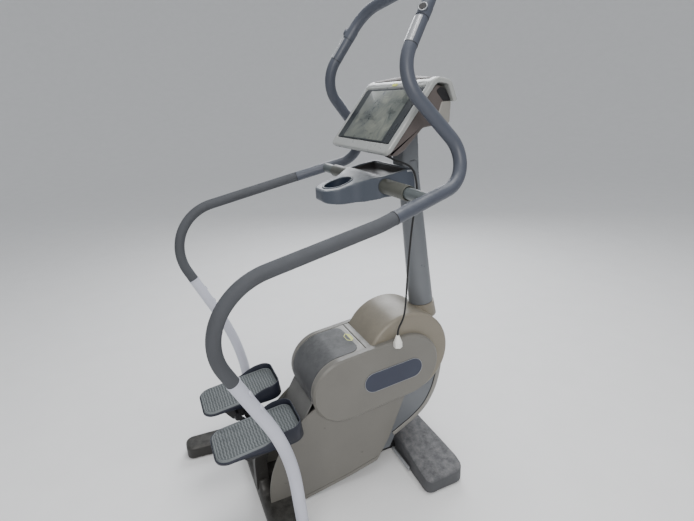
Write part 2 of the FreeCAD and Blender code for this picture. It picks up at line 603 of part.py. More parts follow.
def make_drive():
    first = belt(69, 79, (PIVOT_Y, PIVOT_Z, ARM_PULLEY_R), (LAY_Y, LAY_Z, CLUTCH_R), BELT_GAP, BELT_THICK)
    second = belt(3, 15, (LAY_Y, LAY_Z, LAY_PULLEY_R), (FLY_Y, FLY_Z, FLY_PULLEY_R), BELT_GAP, BELT_THICK)
    save("drive_belts", group([first, mirrored(first), second]))
    clutch = ring_x(CLUTCH_R, SHAFT_R + FIT, 68, 80, LAY_Y, LAY_Z)
    save_pair("clutch_pulley", clutch)
    lay = rod_x(SHAFT_R, -84, 84, LAY_Y, LAY_Z).fuse(rod_x(LAY_PULLEY_R, 2, 16, LAY_Y, LAY_Z))
    lay = lay.cut(group([rod_x(13, 4.5, 13.5, LAY_Y + 48 * math.cos(a), LAY_Z + 48 * math.sin(a))
                         for a in (0.3, 1.87, 3.44, 5.01)]))
    save("layshaft", lay)
    wheel = rod_x(FLY_R, -16, -2, FLY_Y, FLY_Z).cut(ring_x(FLY_R - 22, 30, -17, -12, FLY_Y, FLY_Z))
    wheel = wheel.fuse([rod_x(FLY_SHAFT_R, -80, 40, FLY_Y, FLY_Z),
                        rod_x(FLY_PULLEY_R, -2, 16, FLY_Y, FLY_Z)])
    save("flywheel", wheel)
    body = ring_x(62, 8.6, -88, -26, FLY_Y, FLY_Z).cut(ring_x(54, 10, -84, -32, FLY_Y, FLY_Z))
    save("alternator", body)


def make_springs():
    """Torsion return spring on the pivot shaft, between each web plate and arm."""
    radius, wire, pitch = 14, 2, 4.4
    coil = Part.makeHelix(pitch, pitch * 3, radius)
    ring = Part.Wire(Part.makeCircle(wire, V(radius, 0, 0), V(0, 1, 0)))
    spring = Part.Wire(coil).makePipeShell([ring], True, True)
    spring.rotate(V(0, 0, 0), V(0, 1, 0), 90)
    spring.translate(V(28.4, PIVOT_Y, PIVOT_Z))
    save("return_springs", both_sides(spring))


# ---------------------------------------------------------------- lead, plug and fasteners
CORD_R = 3.5
PLUG_X, PLUG_Y, PLUG_TOP = 155, 262, 646
PLUG_R, PLUG_H = 16.5, 48             # hexagonal plug body
CORD = [
    V(150, 246, 1291), V(150, 263.6, 1277.8), V(152, 289, 1271), V(154, 313, 1259), V(156, 329, 1240),
    V(158, 336, 1214), V(161, 339, 1177), V(166, 332, 1130), V(169, 318, 1085), V(167, 309, 1005),
    V(164, 302, 922), V(162, 297, 840), V(160, 293, 762), V(158, 285, 708), V(PLUG_X, PLUG_Y, 670),
    V(PLUG_X, PLUG_Y, PLUG_TOP),
]


def cord_radii():
    radii = [0]
    for before, here, after in zip(CORD, CORD[1:], CORD[2:]):
        turn = math.pi - (before - here).getAngle(after - here)
        shorter = min(before.distanceToPoint(here), after.distanceToPoint(here))
        radii.append(0.45 * shorter / math.tan(turn / 2))
    return radii + [0]


def gland(gap):
    """Tapered strain relief that points along the first run of the lead."""
    heading = (CORD[1] - CORD[0]).normalize()
    cone = Part.makeCone(8 + gap, 4.6 + gap, 20, CORD[0] - heading * 20, heading)
    return cone.fuse(Part.makeCylinder(8 + gap, 8, CORD[0] - heading * 28, heading))


def make_cord():
    radii = cord_radii()
    lead = sweep(CORD, radii, CORD_R)
    print("cord length", round(chain(CORD, radii, False).Length), "volume / section",
          round(lead.Volume / (math.pi * CORD_R ** 2)), "radii", [round(r) for r in radii[1:-1]])
    save("cord", lead)
    save("cord_gland", gland(0))
    hexagon = [V(PLUG_X + PLUG_R * math.cos(math.radians(a)), PLUG_Y + PLUG_R * math.sin(math.radians(a)),
                 PLUG_TOP - PLUG_H) for a in range(0, 360, 60)]
    body = Part.Face(Part.makePolygon(hexagon + hexagon[:1])).extrude(V(0, 0, PLUG_H))
    shoulder = Part.makeCone(23, 6, PLUG_H, V(PLUG_X, PLUG_Y, PLUG_TOP - PLUG_H))
    save("plug", body.common(shoulder))


def make_fasteners():
    """Cap screws that hold the side panels."""
    screws = []
    for y, z in ((-30, 300), (120, 130), (-200, 110)):
        screws.append(rod_x(5, PANEL_X, PANEL_X + 1.6, y, z))
    screws += [mirrored(s) for s in screws]
    save("fasteners", group(screws))


make_frame()
make_feet()
make_floor_covers()
make_side_panels()
make_side_covers()
make_badges()
make_drum()
make_hood()
make_rear_cover()
make_front_leg()
make_column()
make_console()
make_tray()
make_cross_tube()
make_handrails()
make_thumb_controls()
make_pedals()
make_arms()
make_drive()
make_springs()
make_cord()
make_fasteners()
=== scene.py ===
import json
import math

import bmesh
import bpy
from mathutils import Euler, Matrix, Vector


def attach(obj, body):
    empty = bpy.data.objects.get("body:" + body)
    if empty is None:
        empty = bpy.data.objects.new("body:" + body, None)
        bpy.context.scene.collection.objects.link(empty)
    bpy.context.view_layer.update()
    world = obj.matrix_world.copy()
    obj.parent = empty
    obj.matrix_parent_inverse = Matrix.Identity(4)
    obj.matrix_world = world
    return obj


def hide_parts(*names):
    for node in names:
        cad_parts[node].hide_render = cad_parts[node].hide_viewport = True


# Lengths are in metres, in the row frame: +X to the user's right, +Y forward, +Z up, floor at z = 0.
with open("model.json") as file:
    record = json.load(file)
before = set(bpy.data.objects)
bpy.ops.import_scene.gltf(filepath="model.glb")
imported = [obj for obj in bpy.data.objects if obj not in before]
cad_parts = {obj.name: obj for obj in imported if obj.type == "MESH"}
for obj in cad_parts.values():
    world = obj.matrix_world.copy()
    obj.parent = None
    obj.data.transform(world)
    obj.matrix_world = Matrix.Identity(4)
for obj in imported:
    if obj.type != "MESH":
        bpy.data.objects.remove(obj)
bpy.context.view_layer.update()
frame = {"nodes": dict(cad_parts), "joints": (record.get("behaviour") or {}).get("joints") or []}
V = Vector

# -------- camera
camera = bpy.data.objects.new("view_camera", bpy.data.cameras.new("view_camera"))
bpy.context.scene.collection.objects.link(camera)
camera.location = (1.5041, -0.4964, 1.4900)
camera.rotation_euler = Euler([math.radians(a) for a in (70.525, 2.6045, 66.166)])
camera.data.lens = 24.406
camera.data.sensor_width = 36
camera.data.clip_start = 0.02
bpy.context.scene.camera = camera


# -------- materials
class Look:
    """One procedural material, built up node by node in object space."""

    def __init__(self, name, metal=0.0, specular=0.5):
        self.material = bpy.data.materials.new(name)
        self.material.use_nodes = True
        self.tree = self.material.node_tree
        self.shader = self.tree.nodes["Principled BSDF"]
        self.shader.inputs["Metallic"].default_value = metal
        self.shader.inputs["Specular IOR Level"].default_value = specular
        self.place = self.tree.nodes.new("ShaderNodeTexCoord").outputs["Object"]

    def node(self, kind, **settings):
        made = self.tree.nodes.new(kind)
        for key, value in settings.items():
            setattr(made, key, value)
        return made

    def link(self, a, b):
        self.tree.links.new(a, b)

    def stretched(self, scale):
        mapping = self.node("ShaderNodeMapping")
        mapping.inputs["Scale"].default_value = scale
        self.link(self.place, mapping.inputs["Vector"])
        return mapping.outputs["Vector"]

    def noise(self, scale, detail=4.0, roughness=0.55, stretch=None, distortion=0.0):
        made = self.node("ShaderNodeTexNoise")
        made.inputs["Scale"].default_value = scale
        made.inputs["Detail"].default_value = detail
        made.inputs["Roughness"].default_value = roughness
        made.inputs["Distortion"].default_value = distortion
        self.link(self.stretched(stretch) if stretch else self.place, made.inputs["Vector"])
        return made.outputs["Fac"]

    def ramp(self, value, low, high, out0=0.0, out1=1.0):
        made = self.node("ShaderNodeMapRange")
        limits = {"From Min": low, "From Max": high, "To Min": out0, "To Max": out1}
        for key, number in limits.items():
            made.inputs[key].default_value = number
        self.link(value, made.inputs["Value"])
        return made.outputs["Result"]

    def mix(self, factor, a, b):
        made = self.node("ShaderNodeMix", data_type="RGBA")
        self.link(factor, made.inputs["Factor"])
        for value, slot in ((a, made.inputs[6]), (b, made.inputs[7])):
            if isinstance(value, tuple):
                slot.default_value = (*value, 1.0)
            else:
                self.link(value, slot)
        return made.outputs[2]

    def clouded(self, cloud, low, high):
        """Blends two colours by the middle part of a noise."""
        return self.mix(self.ramp(cloud, 0.3, 0.7), low, high)

    def math(self, operation, a, b):
        made = self.node("ShaderNodeMath", operation=operation)
        for value, slot in ((a, made.inputs[0]), (b, made.inputs[1])):
            if isinstance(value, (int, float)):
                slot.default_value = value
            else:
                self.link(value, slot)
        return made.outputs[0]

    def upward(self, low, high):
        """1 where the surface faces up, 0 where it is steep."""
        parts = self.node("ShaderNodeSeparateXYZ")
        self.link(self.node("ShaderNodeNewGeometry").outputs["Normal"], parts.inputs[0])
        return self.ramp(parts.outputs["Z"], low, high)

    def colour(self, source):
        self.link(source, self.shader.inputs["Base Color"])

    def roughness(self, source):
        self.link(source, self.shader.inputs["Roughness"])

    def bump(self, layers):
        """layers are (height source, depth in metres)."""
        normal = None
        for source, depth in layers:
            made = self.node("ShaderNodeBump")
            made.inputs["Strength"].default_value = 1.0
            made.inputs["Distance"].default_value = depth
            self.link(source, made.inputs["Height"])
            if normal:
                self.link(normal, made.inputs["Normal"])
            normal = made.outputs["Normal"]
        self.link(normal, self.shader.inputs["Normal"])


def srgb(red, green, blue):
    """Linear colour from 0 to 255 screen values."""
    def linear(value):
        value /= 255
        return value / 12.92 if value <= 0.04045 else ((value + 0.055) / 1.055) ** 2.4
    return tuple(linear(v) for v in (red, green, blue))


def shade(colour, factor):
    """The colour made lighter or darker."""
    return tuple(min(1.0, c * factor) for c in colour)


def moulded(name, colour, rough=0.5, grain=900.0, grain_depth=0.00006, dust=0.0, dust_colour=None,
            metal=0.0, specular=0.4, mottle=0.10, scuffs=0.0):
    """Moulded or painted plastic: fine grain, uneven sheen, dust on the flats, scuffs."""
    look = Look(name, metal=metal, specular=specular)
    cloud = look.noise(6.0, 5.0)
    base = look.clouded(cloud, shade(colour, 1 - mottle), shade(colour, 1 + mottle))
    speck = look.noise(420.0, 2.0)
    base = look.mix(look.ramp(speck, 0.62, 0.78, 0.0, 0.25), base, shade(colour, 1.35))
    if dust:
        patches = look.ramp(look.noise(38.0, 8.0, 0.7), 0.35, 0.72)
        settled = look.math("MULTIPLY", look.upward(0.25, 0.95), patches)
        base = look.mix(look.math("MULTIPLY", settled, dust), base, dust_colour or shade(colour, 1.9))
    if scuffs:
        streak = look.noise(30.0, 10.0, 0.75, stretch=(1.0, 2.6, 1.0), distortion=1.4)
        base = look.mix(look.ramp(streak, 0.62, 0.70, 0.0, scuffs), base, shade(colour, 3.2))
    look.colour(base)
    look.roughness(look.ramp(look.noise(16.0, 6.0, 0.65), 0.3, 0.7, rough - 0.07, rough + 0.09))
    look.bump([(look.noise(grain, 3.0), grain_depth), (look.noise(28.0, 3.0), 0.00025)])
    return look.material


def brushed(name, colour, rough=0.3, stretch=(1, 1, 0.02)):
    """Bare metal with fine lines."""
    look = Look(name, metal=1.0)
    lines = look.noise(1400.0, 4.0, stretch=stretch)
    look.colour(look.mix(lines, shade(colour, 0.82), shade(colour, 1.1)))
    look.roughness(look.ramp(lines, 0.2, 0.8, rough - 0.08, rough + 0.12))
    look.bump([(lines, 0.00003)])
    return look.material


def foam(name, colour):
    """Closed-cell foam: pores, uneven tone, worn paler on top."""
    look = Look(name, specular=0.25)
    pores = look.noise(1500.0, 3.0)
    cloud = look.noise(9.0, 5.0)
    base = look.clouded(cloud, shade(colour, 0.86), shade(colour, 1.12))
    base = look.mix(look.ramp(pores, 0.45, 0.7, 0.0, 0.5), base, shade(colour, 1.3))
    patches = look.ramp(look.noise(22.0, 8.0, 0.7), 0.4, 0.7)
    worn = look.math("MULTIPLY", look.upward(0.2, 1.0), patches)
    look.colour(look.mix(look.math("MULTIPLY", worn, 0.35), base, shade(colour, 1.7)))
    look.roughness(look.ramp(cloud, 0.3, 0.7, 0.62, 0.8))
    look.bump([(pores, 0.00012), (look.noise(45.0, 3.0), 0.0006)])
    return look.material


def powder(name, colour, rough):
    """Powder coat: orange peel, uneven tone and small dark chips."""
    look = Look(name, specular=0.5)
    cloud = look.noise(5.0, 6.0)
    base = look.clouded(cloud, shade(colour, 0.93), shade(colour, 1.05))
    chip = look.noise(75.0, 9.0, 0.72)
    base = look.mix(look.ramp(chip, 0.70, 0.74, 0.0, 0.55), base, shade(colour, 0.35))
    look.colour(base)
    look.roughness(look.ramp(look.noise(20.0, 6.0), 0.3, 0.7, rough - 0.06, rough + 0.1))
    look.bump([(look.noise(330.0, 2.0), 0.0001), (chip, 0.00015)])
    return look.material


def screen_look(name, colour, haze):
    """Overlay film worn to a haze with fingertip rubs and long scratches."""
    look = Look(name, specular=0.16)
    haze_map = look.noise(14.0, 10.0, 0.7, distortion=0.8)
    rub = look.noise(9.0, 6.0, 0.6, stretch=(1.0, 2.4, 2.4), distortion=1.2)
    base = look.mix(look.ramp(haze_map, 0.38, 0.72), colour, haze)
    base = look.mix(look.ramp(rub, 0.56, 0.64, 0.0, 0.6), base, shade(colour, 0.55))
    scratch = look.noise(70.0, 3.0, stretch=(0.15, 1.6, 1.6), distortion=0.4)
    base = look.mix(look.ramp(scratch, 0.68, 0.74, 0.0, 0.5), base, shade(haze, 1.3))
    look.colour(base)
    look.roughness(look.ramp(haze_map, 0.35, 0.7, 0.22, 0.55))
    look.bump([(scratch, 0.00003)])
    return look.material


PANEL = moulded("panel_plastic", srgb(107, 105, 100), 0.36, dust=0.12, mottle=0.05)
PANEL_EDGE = moulded("panel_edge", srgb(131, 129, 124), 0.34, mottle=0.05)
DISC = moulded("disc_plastic", srgb(122, 116, 104), 0.38, dust=0.22, mottle=0.06)
SILVER = moulded("silver_plastic", srgb(150, 152, 156), 0.33, metal=0.3, mottle=0.04)
COLUMN = moulded("column_plastic", srgb(103, 106, 110), 0.34, metal=0.15, mottle=0.05)
BEZEL = moulded("bezel_plastic", srgb(155, 157, 155), 0.30, metal=0.2, mottle=0.05, scuffs=0.05)
HOOD = moulded("hood_plastic", srgb(66, 67, 69), 0.5, dust=0.34, dust_colour=srgb(118, 119, 119),
               mottle=0.10)
REAR = moulded("rear_plastic", srgb(40, 39, 37), 0.45, dust=0.5, dust_colour=srgb(96, 95, 92),
               mottle=0.12)
FOOT = moulded("foot_plastic", srgb(70, 71, 74), 0.55, dust=0.75, dust_colour=srgb(128, 127, 128),
               mottle=0.10, scuffs=0.22)
BLACK = moulded("black_plastic", srgb(22, 22, 24), 0.5, mottle=0.1)
CONSOLE = moulded("console_plastic", srgb(82, 75, 73), 0.5, dust=0.2, mottle=0.12)
# The tray's upward faces are made much paler. This is partly dust and partly painted light on its lit
# top.
TRAY = moulded("tray_plastic", srgb(63, 69, 79), 0.42, dust=0.6, dust_colour=srgb(122, 125, 122),
               mottle=0.08)
LINER = moulded("liner_plastic", srgb(40, 39, 40), 0.55, dust=0.3, dust_colour=srgb(86, 84, 80),
                mottle=0.12)
NAVY = moulded("navy_plastic", srgb(30, 33, 45), 0.42, dust=0.12, mottle=0.1)
COLLAR = moulded("collar_plastic", srgb(73, 74, 68), 0.5, dust=0.15, mottle=0.1)
CUP = moulded("cup_plastic", srgb(31, 40, 54), 0.4, mottle=0.1)
FRAME = powder("frame_powder", srgb(26, 26, 28), 0.45)
RAIL_PAINT = powder("rail_powder", srgb(183, 185, 197), 0.33)
FOAM = foam("rail_foam", srgb(70, 72, 76))
GRIP = moulded("rail_grip", srgb(68, 72, 82), 0.42, dust=0.35, dust_colour=srgb(132, 136, 140),
               mottle=0.08, grain_depth=0.0001)
BAR = moulded("bar_paint", srgb(80, 86, 87), 0.42, dust=0.25, mottle=0.08)
STEEL = brushed("bright_steel", (0.55, 0.55, 0.56))
SENSOR = brushed("sensor_steel", (0.72, 0.72, 0.73), 0.24)
IRON = moulded("cast_iron", srgb(70, 70, 72), 0.55, grain=260.0, grain_depth=0.0003, metal=0.8)
ALLOY = brushed("alloy", (0.62, 0.63, 0.64), 0.4, stretch=(1, 1, 1))
RUBBER = moulded("black_rubber", srgb(26, 26, 27), 0.7, grain=600.0, mottle=0.15)
CABLE = moulded("cable_sheath", srgb(20, 20, 21), 0.48, grain=1200.0)
WHITE = moulded("plug_plastic", srgb(226, 225, 218), 0.4, mottle=0.03)
SCREEN = screen_look("screen_film", srgb(74, 80, 80), srgb(124, 127, 118))
GLASS = screen_look("glass_border", srgb(34, 38, 42), srgb(46, 50, 53))
LIME = moulded("lime_badge", srgb(200, 205, 96), 0.35, mottle=0.06)
BADGE = moulded("badge_blue", srgb(46, 51, 67), 0.38, mottle=0.06)


def tread_look():
    """Ribbed rubber: pale worn ribs, dark grooves and soiled patches."""
    look = Look("tread_rubber", specular=0.35)
    base, groove = srgb(104, 109, 111), srgb(62, 66, 68)
    cloud = look.noise(24.0, 6.0, 0.6)
    colour = look.clouded(cloud, shade(base, 0.82), shade(base, 1.14))
    soil = look.ramp(look.noise(11.0, 5.0, 0.6), 0.60, 0.70, 0.0, 0.65)
    colour = look.mix(soil, colour, srgb(52, 55, 62))
    hollow = look.node("ShaderNodeNewGeometry").outputs["Pointiness"]
    colour = look.mix(look.ramp(hollow, 0.485, 0.505, 0.75, 0.0), colour, groove)
    fibre = look.noise(260.0, 4.0, stretch=(4.0, 1.0, 1.0))
    colour = look.mix(look.ramp(fibre, 0.55, 0.75, 0.0, 0.35), colour, srgb(150, 154, 152))
    look.colour(colour)
    look.roughness(look.ramp(cloud, 0.3, 0.7, 0.55, 0.75))
    look.bump([(fibre, 0.00015)])
    return look.material


TREAD = tread_look()


def rear_look():
    """Rear moulding: scuffed grey on the slope beside the pedals, with painted shade making it near
    black low down the spine.
    """
    look = Look("rear_slope_plastic", specular=0.4)
    cloud = look.noise(6.0, 5.0)
    axes = look.node("ShaderNodeSeparateXYZ")
    look.link(look.place, axes.inputs[0])
    # Painted shade: between about 0.40 and 0.29 m up, the colour blends to near black for the shade
    # down the spine.
    height = look.ramp(axes.outputs["Z"], 0.29, 0.40)
    low = look.clouded(cloud, srgb(34, 33, 32), srgb(44, 43, 41))
    high = look.clouded(cloud, srgb(86, 86, 85), srgb(108, 108, 106))
    base = look.mix(height, low, high)
    streak = look.noise(34.0, 8.0, 0.7, stretch=(1.0, 2.2, 1.0), distortion=1.0)
    base = look.mix(look.ramp(streak, 0.60, 0.70, 0.0, 0.22), base, srgb(138, 138, 136))
    look.colour(base)
    look.roughness(look.ramp(look.noise(16.0, 6.0, 0.65), 0.3, 0.7, 0.42, 0.56))
    look.bump([(look.noise(900.0, 3.0), 0.00006), (look.noise(28.0, 3.0), 0.00025)])
    return look.material


REAR_SLOPE = rear_look()

CARRIED = (
    (FRAME, "main_frame rear_stabiliser front_stabiliser mast pedal_carrier_right pedal_carrier_left"
            " pedal_arm_right pedal_arm_left parallel_link_right parallel_link_left"),
    (STEEL, "foot_studs pivot_shaft clutch_pulley_right clutch_pulley_left return_springs"),
    (ALLOY, "layshaft alternator"),
    (IRON, "flywheel"),
    (RUBBER, "foot_pads drive_belts"),
    (PANEL, "side_panel_right side_panel_left side_cover_right side_cover_left saddle_cover fasteners"),
    (DISC, "disc_covers"),
    (HOOD, "rear_hood"),
    (REAR, "rear_leg_covers rear_crossbar_cover"),
    (REAR_SLOPE, "rear_cover"),
    (FOOT, "front_foot_covers"),
    (COLUMN, "front_leg_cover column_shell neck_cover"),
    (BADGE, "badges"),
    (BEZEL, "console_bezel"),
    (GLASS, "console_glass"),
    (CONSOLE, "console_shell"),
    (TRAY, "tray"),
    (CUP, "cup_liner"),
    (BAR, "cross_tube"),
    (RAIL_PAINT, "handrail_lower_right handrail_lower_left"),
    (FOAM, "handrail_foam_right handrail_foam_left"),
    (GRIP, "handrail_upper_right handrail_upper_left handrail_arch thumb_housings"),
    (SENSOR, "hand_sensors"),
    (BLACK, "thumb_button_right thumb_button_left"),
    (NAVY, "pedal_right pedal_left"),
    (TREAD, "tread_right tread_left"),
    (CABLE, "cord cord_gland"),
    (WHITE, "plug"),
)

for material, names in CARRIED:
    for name in names.split():
        node = frame["nodes"][name]
        if not node.material_slots:
            node.data.materials.append(material)
        for held in node.material_slots:
            held.material = material

# -------- lead
CORD_DIAMETER = 0.007
CORD_ROUTE = [
    (0.150, 0.246, 1.291), (0.150, 0.2636, 1.2778), (0.152, 0.289, 1.271), (0.154, 0.313, 1.259),
    (0.156, 0.329, 1.240), (0.158, 0.336, 1.214), (0.161, 0.339, 1.177), (0.166, 0.332, 1.130),
    (0.169, 0.318, 1.085), (0.167, 0.309, 1.005), (0.164, 0.302, 0.922), (0.162, 0.297, 0.840),
    (0.160, 0.293, 0.762), (0.158, 0.285, 0.708), (0.155, 0.262, 0.670), (0.155, 0.262, 0.646),
]


def make_lead():
    data = bpy.data.curves.new("lead", "CURVE")
    data.dimensions = "3D"
    data.bevel_depth = CORD_DIAMETER / 2
    data.bevel_resolution = 5
    data.resolution_u = 12
    data.use_fill_caps = True
    spline = data.splines.new("NURBS")
    spline.points.add(len(CORD_ROUTE) - 1)
    for point, place in zip(spline.points, CORD_ROUTE):
        point.co = (*place, 1.0)
    spline.order_u = 3
    spline.use_endpoint_u = True
    data.materials.append(CABLE)
    lead = bpy.data.objects.new("lead", data)
    bpy.context.scene.collection.objects.link(lead)
    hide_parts("cord")
    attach(lead, "frame")
    return lead


lead = make_lead()


# -------- mesh helpers
WELD_GAP = 1e-6


def mesh_piece(name, verts, faces, material, slot, body="frame", replaces=(), smooth=True):
    """A named piece from points and faces, on its body. The slot argument is not used."""
    data = bpy.data.meshes.new(name)
    data.from_pydata([tuple(v) for v in verts], [], faces)
    data.validate()
    work = bmesh.new()
    work.from_mesh(data)
    bmesh.ops.remove_doubles(work, verts=work.verts, dist=WELD_GAP)
    bmesh.ops.recalc_face_normals(work, faces=work.faces)
    for face in work.faces:
        face.smooth = smooth
    work.to_mesh(data)
    work.free()
    data.materials.append(material)
    obj = bpy.data.objects.new(name, data)
    bpy.context.scene.collection.objects.link(obj)
    if replaces:
        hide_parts(*replaces)
    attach(obj, body)


def loft(rings, wrap=False):
    """Skin over closed rings of equal length. The ends are capped, or joined if wrap is set."""
    count = len(rings[0])
    verts = [V(p) for ring in rings for p in ring]
    faces = []
    last = len(rings) if wrap else len(rings) - 1
    for i in range(last):
        a, b = i * count, ((i + 1) % len(rings)) * count
        for j in range(count):
            k = (j + 1) % count
            faces.append((a + j, a + k, b + k, b + j))
    if not wrap:
        faces.append(tuple(range(count)))
        faces.append(tuple((len(rings) - 1) * count + j for j in range(count)))
    return verts, faces


def bevelled(node, width):
    """Rounds the hard edges of a carried node, and evens out its shading."""
    weld = node.modifiers.new("weld", "WELD")
    weld.merge_threshold = 0.00002
    bevel = node.modifiers.new("round", "BEVEL")
    bevel.width = width
    bevel.segments = 3
    bevel.limit_method = "ANGLE"
    bevel.angle_limit = math.radians(32)
    bevel.use_clamp_overlap = True
    even = node.modifiers.new("even", "WEIGHTED_NORMAL")
    even.keep_sharp = False


def rounded_outline(corners, steps=8):
    """Points of a closed outline whose (u, v, radius) corners are rounded."""
    points = []
    count = len(corners)
    for i, (u, v, radius) in enumerate(corners):
        here = V((u, v))
        into = (V(corners[i - 1][:2]) - here).normalized()
        away = (V(corners[(i + 1) % count][:2]) - here).normalized()
        turn = math.pi - into.angle(away)
        if radius <= 0 or turn < 1e-3:
            points.append(here)
            continue
        reach = radius * math.tan(turn / 2)
        bisector = (into + away).normalized()
        centre = here + bisector * (radius / math.cos(turn / 2))
        start = here + into * reach - centre
        end = here + away * reach - centre
        for k in range(steps + 1):
            t = k / steps
            mixed = start * math.sin((1 - t) * turn) + end * math.sin(t * turn)
            points.append(centre + mixed / math.sin(turn))
    return points


def smooth_path(points, count=8):
    """Catmull-Rom curve through 3-D points."""
    points = [V(p) for p in points]
    padded = [points[0] * 2 - points[1]] + points + [points[-1] * 2 - points[-2]]
    path = []
    for a, b, c, d in zip(padded, padded[1:], padded[2:], padded[3:]):
        for k in range(count):
            t = k / count
            path.append(0.5 * (2 * b + (c - a) * t + (2 * a - 5 * b + 4 * c - d) * t * t
                               + (3 * b - a - 3 * c + d) * t * t * t))
    path.append(points[-1])
    return path


def mirrored_points(points):
    """The points on the other side of the middle plane."""
    return [V((-p[0], p[1], p[2])) for p in points]


def both(name, verts, faces, material, slot, body="frame", replaces=()):
    """The same piece on the right and, mirrored, on the left."""
    for side, points in (("right", verts), ("left", mirrored_points(verts))):
        mesh_piece("%s_%s" % (name, side), points, faces, material, slot, body.format(side=side),
                   [node.format(side=side) for node in replaces])


def at_length(path, s):
    """Point and heading at distance s along a flat (y, z) path."""
    for a, b in zip(path, path[1:]):
        piece = (b - a).length
        if s <= piece or b is path[-1]:
            return a + (b - a) * (s / piece), (b - a) / piece
        s -= piece


def path_length(path):
    return sum((b - a).length for a, b in zip(path, path[1:]))


# How far round its edge each ring at a slab's end lies, in radians.
SLAB_END_TURNS = (1.5708, 1.05, 0.6, 0.25)
SLAB_UNDER_STEPS = 6


def slab(path, half, thick, edge, relief=None, columns=24, step=0.006, stops=()):
    """Curved sheet along a (y, z) path, outward on the left of the heading, with rounded edges.

    half and thick are functions of the distance along. relief lifts the outer face at (across, along).
    """
    total = path_length(path)
    ends = [(edge * (1 - math.sin(a)), edge * (1 - math.cos(a))) for a in SLAB_END_TURNS]
    count = max(2, int((total - 2 * edge) / step))
    even = [edge + (total - 2 * edge) * k / count for k in range(count + 1)]
    places = ends + [(s, 0.0) for s in sorted(even + list(stops))]
    places += [(total - s, inset) for s, inset in reversed(ends)]
    quarter = [math.pi / 2 * k / 4 for k in range(1, 5)]
    rings = []
    for s, inset in places:
        here, heading = at_length(path, s)
        out = V((-heading.y, heading.x))
        wide, deep = half(s), thick(s)
        r = min(edge, deep / 2)
        inset = min(inset, deep / 2 * 0.96)

        def spot(across, depth):
            place = here - out * depth
            return V((across, place.x, place.y))

        ring = []
        for j in range(columns + 1):
            across = (2 * j / columns - 1) * (wide - r)
            lift = relief(across, s) if relief and inset == 0 else 0.0
            ring.append(spot(across, inset - lift))
        small = r - inset
        rim = [(wide - r + small * math.sin(a), r - small * math.cos(a)) for a in quarter]
        rim += [(wide - r + small * math.cos(a), deep - r + small * math.sin(a)) for a in quarter]
        ring += [spot(a, d) for a, d in rim]
        ring += [spot((1 - 2 * j / SLAB_UNDER_STEPS) * (wide - r), deep - inset)
                 for j in range(1, SLAB_UNDER_STEPS)]
        ring += [spot(-a, d) for a, d in reversed(rim)]
        rings.append(ring)
    return loft(rings)


def offset_loop(points, distance):
    """Closed (u, v) loop moved inwards by distance along its corner normals."""
    count = len(points)
    area = sum(points[i].x * points[(i + 1) % count].y - points[(i + 1) % count].x * points[i].y
               for i in range(count))
    turn = 1.0 if area > 0 else -1.0
    moved = []
    for i, here in enumerate(points):
        a = (here - points[i - 1]).normalized()
        b = (points[(i + 1) % count] - here).normalized()
        normal = V((-(a.y + b.y), a.x + b.x)).normalized() * turn
        lean = max(0.5, normal.dot(V((-a.y, a.x)) * turn))
        moved.append(here + normal * (distance / lean))
    return moved


def pillow(corners, x0, x1, edge, steps=5, arc=10):
    """Block drawn out along X from a rounded (y, z) outline, with rounded rims."""
    loop = rounded_outline(corners, arc)
    turns = [math.pi / 2 * k / steps for k in range(steps + 1)]
    rim = [(edge * (1 - math.sin(a)), edge * (1 - math.cos(a))) for a in turns]
    places = [(x0 + depth, inset) for depth, inset in reversed(rim)]
    places += [(x1 - depth, inset) for depth, inset in rim]
    return loft([[V((x, p.x, p.y)) for p in offset_loop(loop, inset)] for x, inset in places])


def softened(node, voxel, passes):
    """Evens a carried node into one rounded moulding with soft edges."""
    remesh = node.modifiers.new("skin", "REMESH")
    remesh.mode = "VOXEL"
    remesh.voxel_size = voxel
    remesh.use_smooth_shade = True
    smooth = node.modifiers.new("soft", "SMOOTH")
    smooth.factor = 0.5
    smooth.iterations = passes


# -------- pedals
JOINTS = {j["name"]: j for j in frame["joints"]}
PEDAL_PIN = V(JOINTS["right_pedal_level"]["pos_m"])
PEDAL_TILT = math.radians(7)
PEDAL_X = 0.1365
PEDAL_HALF = 0.091
PEDAL_FRONT, PEDAL_REAR = 0.144, -0.159
HEEL_R, TOE_R = 0.047, 0.042
OUTLINE_STEP = 0.007
TREAD_Z = 0.061
TREAD_GAP = 0.0046
TREAD_DEPTH = 0.0057
GROOVE_DEPTH = 0.0028
RIB_PITCH = 0.0102
RIB_HEIGHT = 0.0026
BORDER_HEIGHT = 0.0024
RIM_DROP = 0.0022
GUARD_WALL = 0.0042
GUARD_LIP = 0.0016


def pedal_place(x, y, z):
    """Pedal coordinates, from its pin with the toe up, to the row frame."""
    c, s = math.cos(PEDAL_TILT), math.sin(PEDAL_TILT)
    return V((PEDAL_X + x, PEDAL_PIN.y + y * c - z * s, PEDAL_PIN.z + y * s + z * c))


def pedal_loop(inset, count=20):
    """The pedal's outline moved inwards by inset, in steps of about OUTLINE_STEP."""
    half, rear, front = PEDAL_HALF - inset, PEDAL_REAR + inset, PEDAL_FRONT - inset
    points = rounded_outline([(-half, rear, HEEL_R - inset), (half, rear, HEEL_R - inset),
                              (half, front, TOE_R - inset), (-half, front, TOE_R - inset)], count)
    path = []
    for a, b in zip(points, points[1:] + points[:1]):
        pieces = max(1, int((b - a).length / OUTLINE_STEP))
        path += [a.lerp(b, k / pieces) for k in range(pieces)]
    return path


def edge_distance(x, y):
    """How far inside the pedal's outline a point is."""
    radius = HEEL_R if y < 0 else TOE_R
    middle = (PEDAL_FRONT + PEDAL_REAR) / 2
    dx = abs(x) - (PEDAL_HALF - radius)
    dy = abs(y - middle) - ((PEDAL_FRONT - PEDAL_REAR) / 2 - radius)
    outside = math.hypot(max(dx, 0), max(dy, 0)) + min(max(dx, dy), 0)
    return radius - outside


